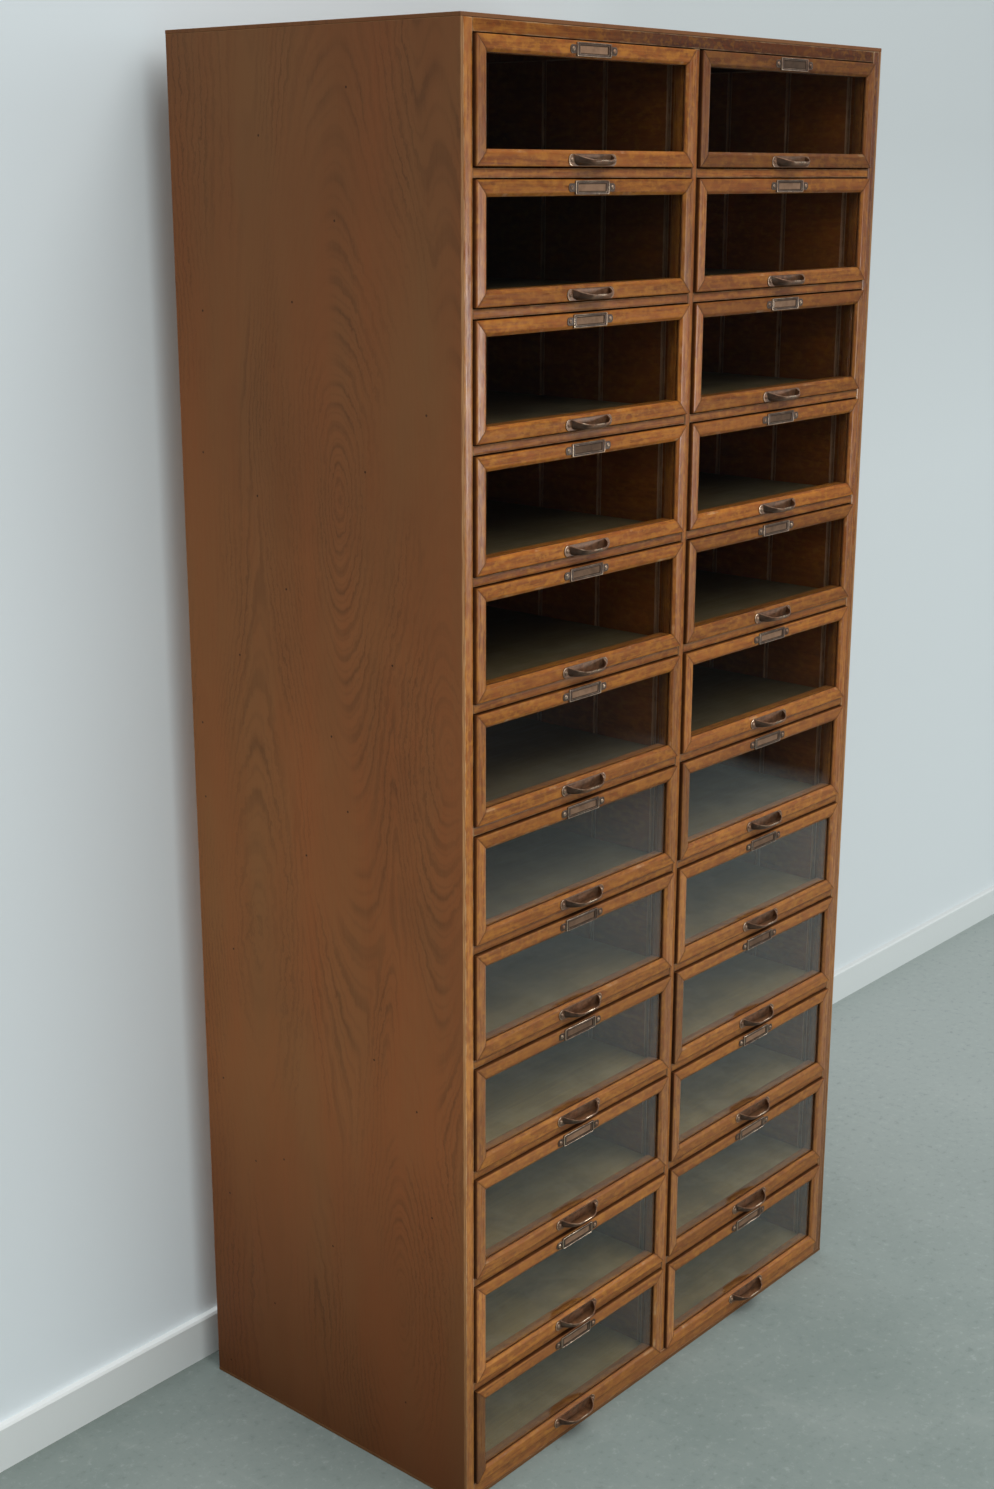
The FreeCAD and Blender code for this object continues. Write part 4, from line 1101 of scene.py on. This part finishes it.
def repeated_boards():
    """Cross rails, runners, guides and stops: one row is drawn and stacked."""
    chance = random.Random(31)
    inner, back = FRONT + FACE, BACK - PLY
    rails, runners = Stock("cross_rail_row", OAK_FACE), Stock("runner_row", OAK_INSIDE)
    low = FIRST_FLOOR + OPEN_HIGH
    for x in COLUMN_X.values():
        # the rails' arrises are darkened as painted shade of the gaps above and below the drawers
        board(rails, (x, FRONT + 0.3, low), (x + OPEN_WIDE, inner, low + RAIL), ACROSS, chance, soft=0.9,
              step=RAIL_STEP, tone=0.37, soot_and_shade=0.4)
    half, wall = MUNTIN / 2, WIDE / 2 - PLY
    ledge = (inner, back, FIRST_FLOOR - RAIL, FIRST_FLOOR)
    guide = (inner, back, FIRST_FLOOR, FIRST_FLOOR + GUIDE_HIGH)
    stop = (back - STOP_DEEP, back, FIRST_FLOOR, FIRST_FLOOR + STOP_HIGH)
    for x0, x1, (y0, y1, z0, z1) in (
        (-wall, -wall + STILE + LEDGE, ledge), (wall - STILE - LEDGE, wall, ledge),
        (-half - LEDGE, -half, ledge), (half, half + LEDGE, ledge),
        (-wall, -wall + STILE, guide), (wall - STILE, wall, guide),
        (-RIGHT_END, -RIGHT_END + LEDGE, stop), (-half - LEDGE, -half, stop),
        (half, half + LEDGE, stop), (RIGHT_END - LEDGE, RIGHT_END, stop),
    ):
        board(runners, (x0, y0, z0), (x1, y1, z1), BACKWARD, chance, step=200.0, wear_and_highlight=0.6)
    for name, stock, rows, seed, wood, node in (
        ("cross_rail_stack", rails, ROWS - 1, 5, OAK_FACE, "cross_rails"),
        ("runner_stack", runners, ROWS, 9, OAK_INSIDE, "drawer_runners"),
    ):
        stack = grown(name, stock.mesh(), STACKED_ROWS, rows=rows, pitch=PITCH * MM, seed=seed, finish=wood)
        dress(name, stack, "carcass", "oak", node)
    partition = Stock("partition_board", OAK_INSIDE)
    board(partition, (-half, inner, PLY), (half, back, TALL - PLY), UP, chance, step=120.0, wear_and_highlight=0.5)
    partition.piece("carcass", "oak", "centre_partition")


# ---------------- building it

# how much paler or darker one drawer's oak is, and the stile on its left beside the rest
PALER = {("right", 1): -0.15, ("left", 2): -0.18, ("right", 3): -0.24, ("right", 5): -0.22}
PALER_STILE = {
    ("left", 1): -0.18, ("left", 2): 0.32, ("left", 7): 0.22, ("left", 11): 0.34, ("left", 12): -0.42,
    ("right", 2): 0.12, ("right", 3): 0.18, ("right", 5): 0.12, ("right", 7): -0.25, ("right", 9): -0.32,
    ("right", 12): 0.34,
}


def drawer_look(drawer):
    """How one drawer's oak has aged: tone, age, and how its stiles differ from its rails; also how dark its
    inside boards and floor are painted, darker in the upper rows as painted shade.
    """
    chance, row = drawer.chance(300, 20, 1), drawer.row
    tone, age = -0.10, 0.0
    if drawer.right:
        tone, age = ramp(row, 1, 4.5, -0.30, 0.0), ramp(row, 1, 3, 0.25, 0.0)
    tone = -0.03 if row > 4 else tone + drawer.special({("right", 1): -0.12})
    look = {
        "tone": 0.48 + tone + chance.uniform(-0.05, 0.05) + drawer.special(PALER),
        "age": 0.05 + age + chance.uniform(-0.04, 0.08),
        "stile_tone": chance.uniform(-0.06, 0.10) - 0.6 * tone,
        "stile_age": 0.10 + chance.uniform(-0.05, 0.12),
        "near_stile": drawer.special(PALER_STILE),
        "inside": 0.0,
    }
    # the inside boards are darker in the upper rows, darkest in the second drawer on the left: painted shade
    if drawer.tag != "left_02":
        look["inside"] = ramp(row, 2, 5, 0.28, 0.60) + chance.uniform(-0.06, 0.06)
        look["inside"] += drawer.special({("right", 2): 0.28})
    # the drawer floors are darker in the upper rows: painted shade
    look["floor"] = ramp(row, 6, 9.5, 0.16, 0.74) + chance.uniform(-0.04, 0.04)
    return look


plywood_sheets()
face_frame()
repeated_boards()
for column in COLUMN_X:
    for number in range(1, ROWS + 1):
        made_drawer = Drawer(column, number)
        drawer_joinery(made_drawer, drawer_look(made_drawer))
        pane_and_card(made_drawer)
        metalwork(made_drawer)


# ---------------- floor, light, camera

WALL_Y, SKIRTING_Y, SKIRTING_HIGH, ROOM = 0.315, 0.302, 0.07, 12


def studio_floor(w):
    """Pale grey-green floor, paler towards the right as painted light; away from the front it turns dark, but
    only to mirror rays, as painted shade of a dim room.
    """
    place = w.place()
    x, y, _ = w.split(place)
    behind = w.between(y, -2.6, -1.7, 1.0, 0.0)
    aside = w.times(w.between(y, -1.75, -1.5, 1.0, 0.0), w.between(x, 2.7, 3.0))
    mirrored = w.node("ShaderNodeLightPath").outputs["Is Glossy Ray"]
    # dark only to mirror rays: painted shade, so the panes mirror a dim room
    far = w.times(w.math("MAXIMUM", behind, aside), mirrored)
    mottle = w.between(w.noise(place, 3.5, 5.0, 0.6), 0.35, 0.65)
    specks = w.noise(w.shift(place, (3.0, 7.0, 0.0)), 60.0, 4.0, 0.75)
    scuffs = w.streaks(place, (9.0, 3.5, 1.0), 6.0, 0.7, (1.0, 5.0, 0.0), 0.6)
    paint = w.layers(
        w.mix(mottle, (0.226, 0.275, 0.258), (0.265, 0.313, 0.295)),
        # paler towards the right: painted light
        (w.between(x, 0.3, 1.2, 0.0, 0.8), (0.34, 0.385, 0.372)),
        (w.between(specks, 0.56, 0.70, 0.0, 0.34), (0.13, 0.16, 0.15)),
        (w.between(specks, 0.30, 0.44, 0.34, 0.0), (0.42, 0.47, 0.46)),
        (w.between(scuffs, 0.55, 0.68, 0.0, 0.2), (0.36, 0.40, 0.38)),
        (far, (0.016, 0.016, 0.014)),
    )
    return {"Base Color": paint, "Roughness": 0.8, "Specular IOR Level": 0.05}


def studio_wall(w):
    """Pale wall close behind, seen only from its front, with painted light and shade: palest just left of the
    cabinet, darker far to the left and to the right, darker at the top.
    """
    along, _, height = w.split(w.place())
    # painted light and shade: palest just left of the cabinet, darker far to the left and to the right
    paint = w.mix(w.between(along, -0.45, 0.6), (0.80, 0.88, 0.915), (0.565, 0.612, 0.622))
    paint = w.mix(w.between(along, -0.75, -1.5), paint, (0.70, 0.765, 0.79))
    # painted light and shade: darker towards the top, a little paler towards the foot
    level = w.times(w.between(height, 1.2, 1.9, 1.0, 0.82), w.between(height, 0.2, 1.2, 1.08, 1.0))
    painted = w.node("ShaderNodeBsdfPrincipled", {"Base Color": w.levelled(paint, level), "Roughness": 0.9})
    path = w.node("ShaderNodeLightPath").outputs
    seen = w.math("MAXIMUM", path["Is Glossy Ray"], path["Is Transmission Ray"])
    seen = w.math("MAXIMUM", path["Is Camera Ray"], seen)
    front = w.minus(1.0, w.node("ShaderNodeNewGeometry").outputs["Backfacing"])
    clear = w.node("ShaderNodeBsdfTransparent")
    feeds = {0: w.times(seen, front), 1: clear.outputs[0], 2: painted.outputs[0]}
    return w.node("ShaderNodeMixShader", feeds).outputs[0]


def studio_skirting(w):
    """Painted skirting along the foot of the wall, paler at the left and darker to the right as painted light
    and shade.
    """
    along = w.split(w.place())[0]
    paint = w.mix(w.between(along, -0.7, 0.6), (0.82, 0.87, 0.865), (0.60, 0.64, 0.63))
    return {"Base Color": paint, "Roughness": 0.6}


def dark_end(w):
    """A dark board in front and to the right, so the upper panes mirror a dim room."""
    return {"Base Color": (0.006, 0.005, 0.004), "Roughness": 1.0}


def stage_sheet(name, corners, material):
    mesh = bpy.data.meshes.new(name)
    mesh.from_pydata(corners, [], [tuple(range(len(corners)))])
    mesh.materials.append(material)
    made = placed(name, mesh)
    return made


def stage_strips(wiring, *path):
    """Long strips across the room, from one pair of depth and height to the next."""
    material = new_finish(wiring.__name__, wiring)
    for low, high in zip(path, path[1:]):
        corners = [(-ROOM, *low), (ROOM, *low), (ROOM, *high), (-ROOM, *high)]
        stage_sheet(wiring.__name__, corners, material)


def room():
    """Floor, wall, skirting and the dark end, which only the panes see."""
    ease = 0.003
    stage_strips(studio_floor, (-ROOM, 0), (ROOM, 0))
    stage_strips(studio_wall, (WALL_Y, 0), (WALL_Y, 8))
    stage_strips(studio_skirting, (WALL_Y, SKIRTING_HIGH), (SKIRTING_Y + ease, SKIRTING_HIGH),
                 (SKIRTING_Y, SKIRTING_HIGH - ease), (SKIRTING_Y, 0.0))
    corners = [(-9, -3.1, 0), (-9, -3.1, 3.1), (11, -3.1, 3.1), (11, -3.1, 0)]
    made = stage_sheet("dark_end", corners, new_finish("dark_end", dark_end))
    made.visible_camera = made.visible_shadow = made.visible_diffuse = False


def lamp(name, place, aim, size, watts, colour):
    data = bpy.data.lights.new(name, "AREA")
    data.shape = "ELLIPSE"
    data.size, data.size_y = size
    data.energy, data.color = watts, colour
    made = placed(name, data)
    made.location = place
    made.rotation_euler = (Vector(aim) - Vector(place)).to_track_quat("-Z", "Y").to_euler()


def daylight():
    world = bpy.data.worlds.new("room_light")
    bpy.context.scene.world = world
    world.use_nodes = True
    backdrop = world.node_tree.nodes["Background"].inputs
    backdrop["Color"].default_value = (0.97, 0.985, 1.0, 1)
    backdrop["Strength"].default_value = 0.83
    lamp("ceiling_lamp", (-0.3, -2.6, 4.4), (0.0, -0.3, 0.8), (3.4, 3.4), 88.0, (1.0, 0.985, 0.96))
    lamp("low_window", (3.62, -4.4, 1.0), (-0.4, -0.3, 1.5), (0.6, 1.1), 66.0, (0.93, 0.97, 1.0))


def photo_camera():
    data = bpy.data.cameras.new("camera")
    data.sensor_width, data.lens, data.clip_start = 36.0, 48.677, 0.05
    made = placed("camera", data)
    heading, pitch, roll = 0.85833, -0.27742, 0.00213
    level = math.cos(pitch)
    ahead = Vector((math.sin(heading) * level, math.cos(heading) * level, math.sin(pitch)))
    right = Vector((math.cos(heading), -math.sin(heading), 0))
    above = right.cross(ahead)
    turned = right * math.cos(roll) + above * math.sin(roll)
    above = above * math.cos(roll) - right * math.sin(roll)
    spot = (-2.29835, -1.89764, 1.82502)
    rows = [(turned[axis], above[axis], -ahead[axis], spot[axis]) for axis in AXES]
    made.matrix_world = Matrix((*rows, (0, 0, 0, 1)))
    bpy.context.scene.camera = made


room()
daylight()
photo_camera()
bpy.context.scene.view_settings.view_transform = "Standard"
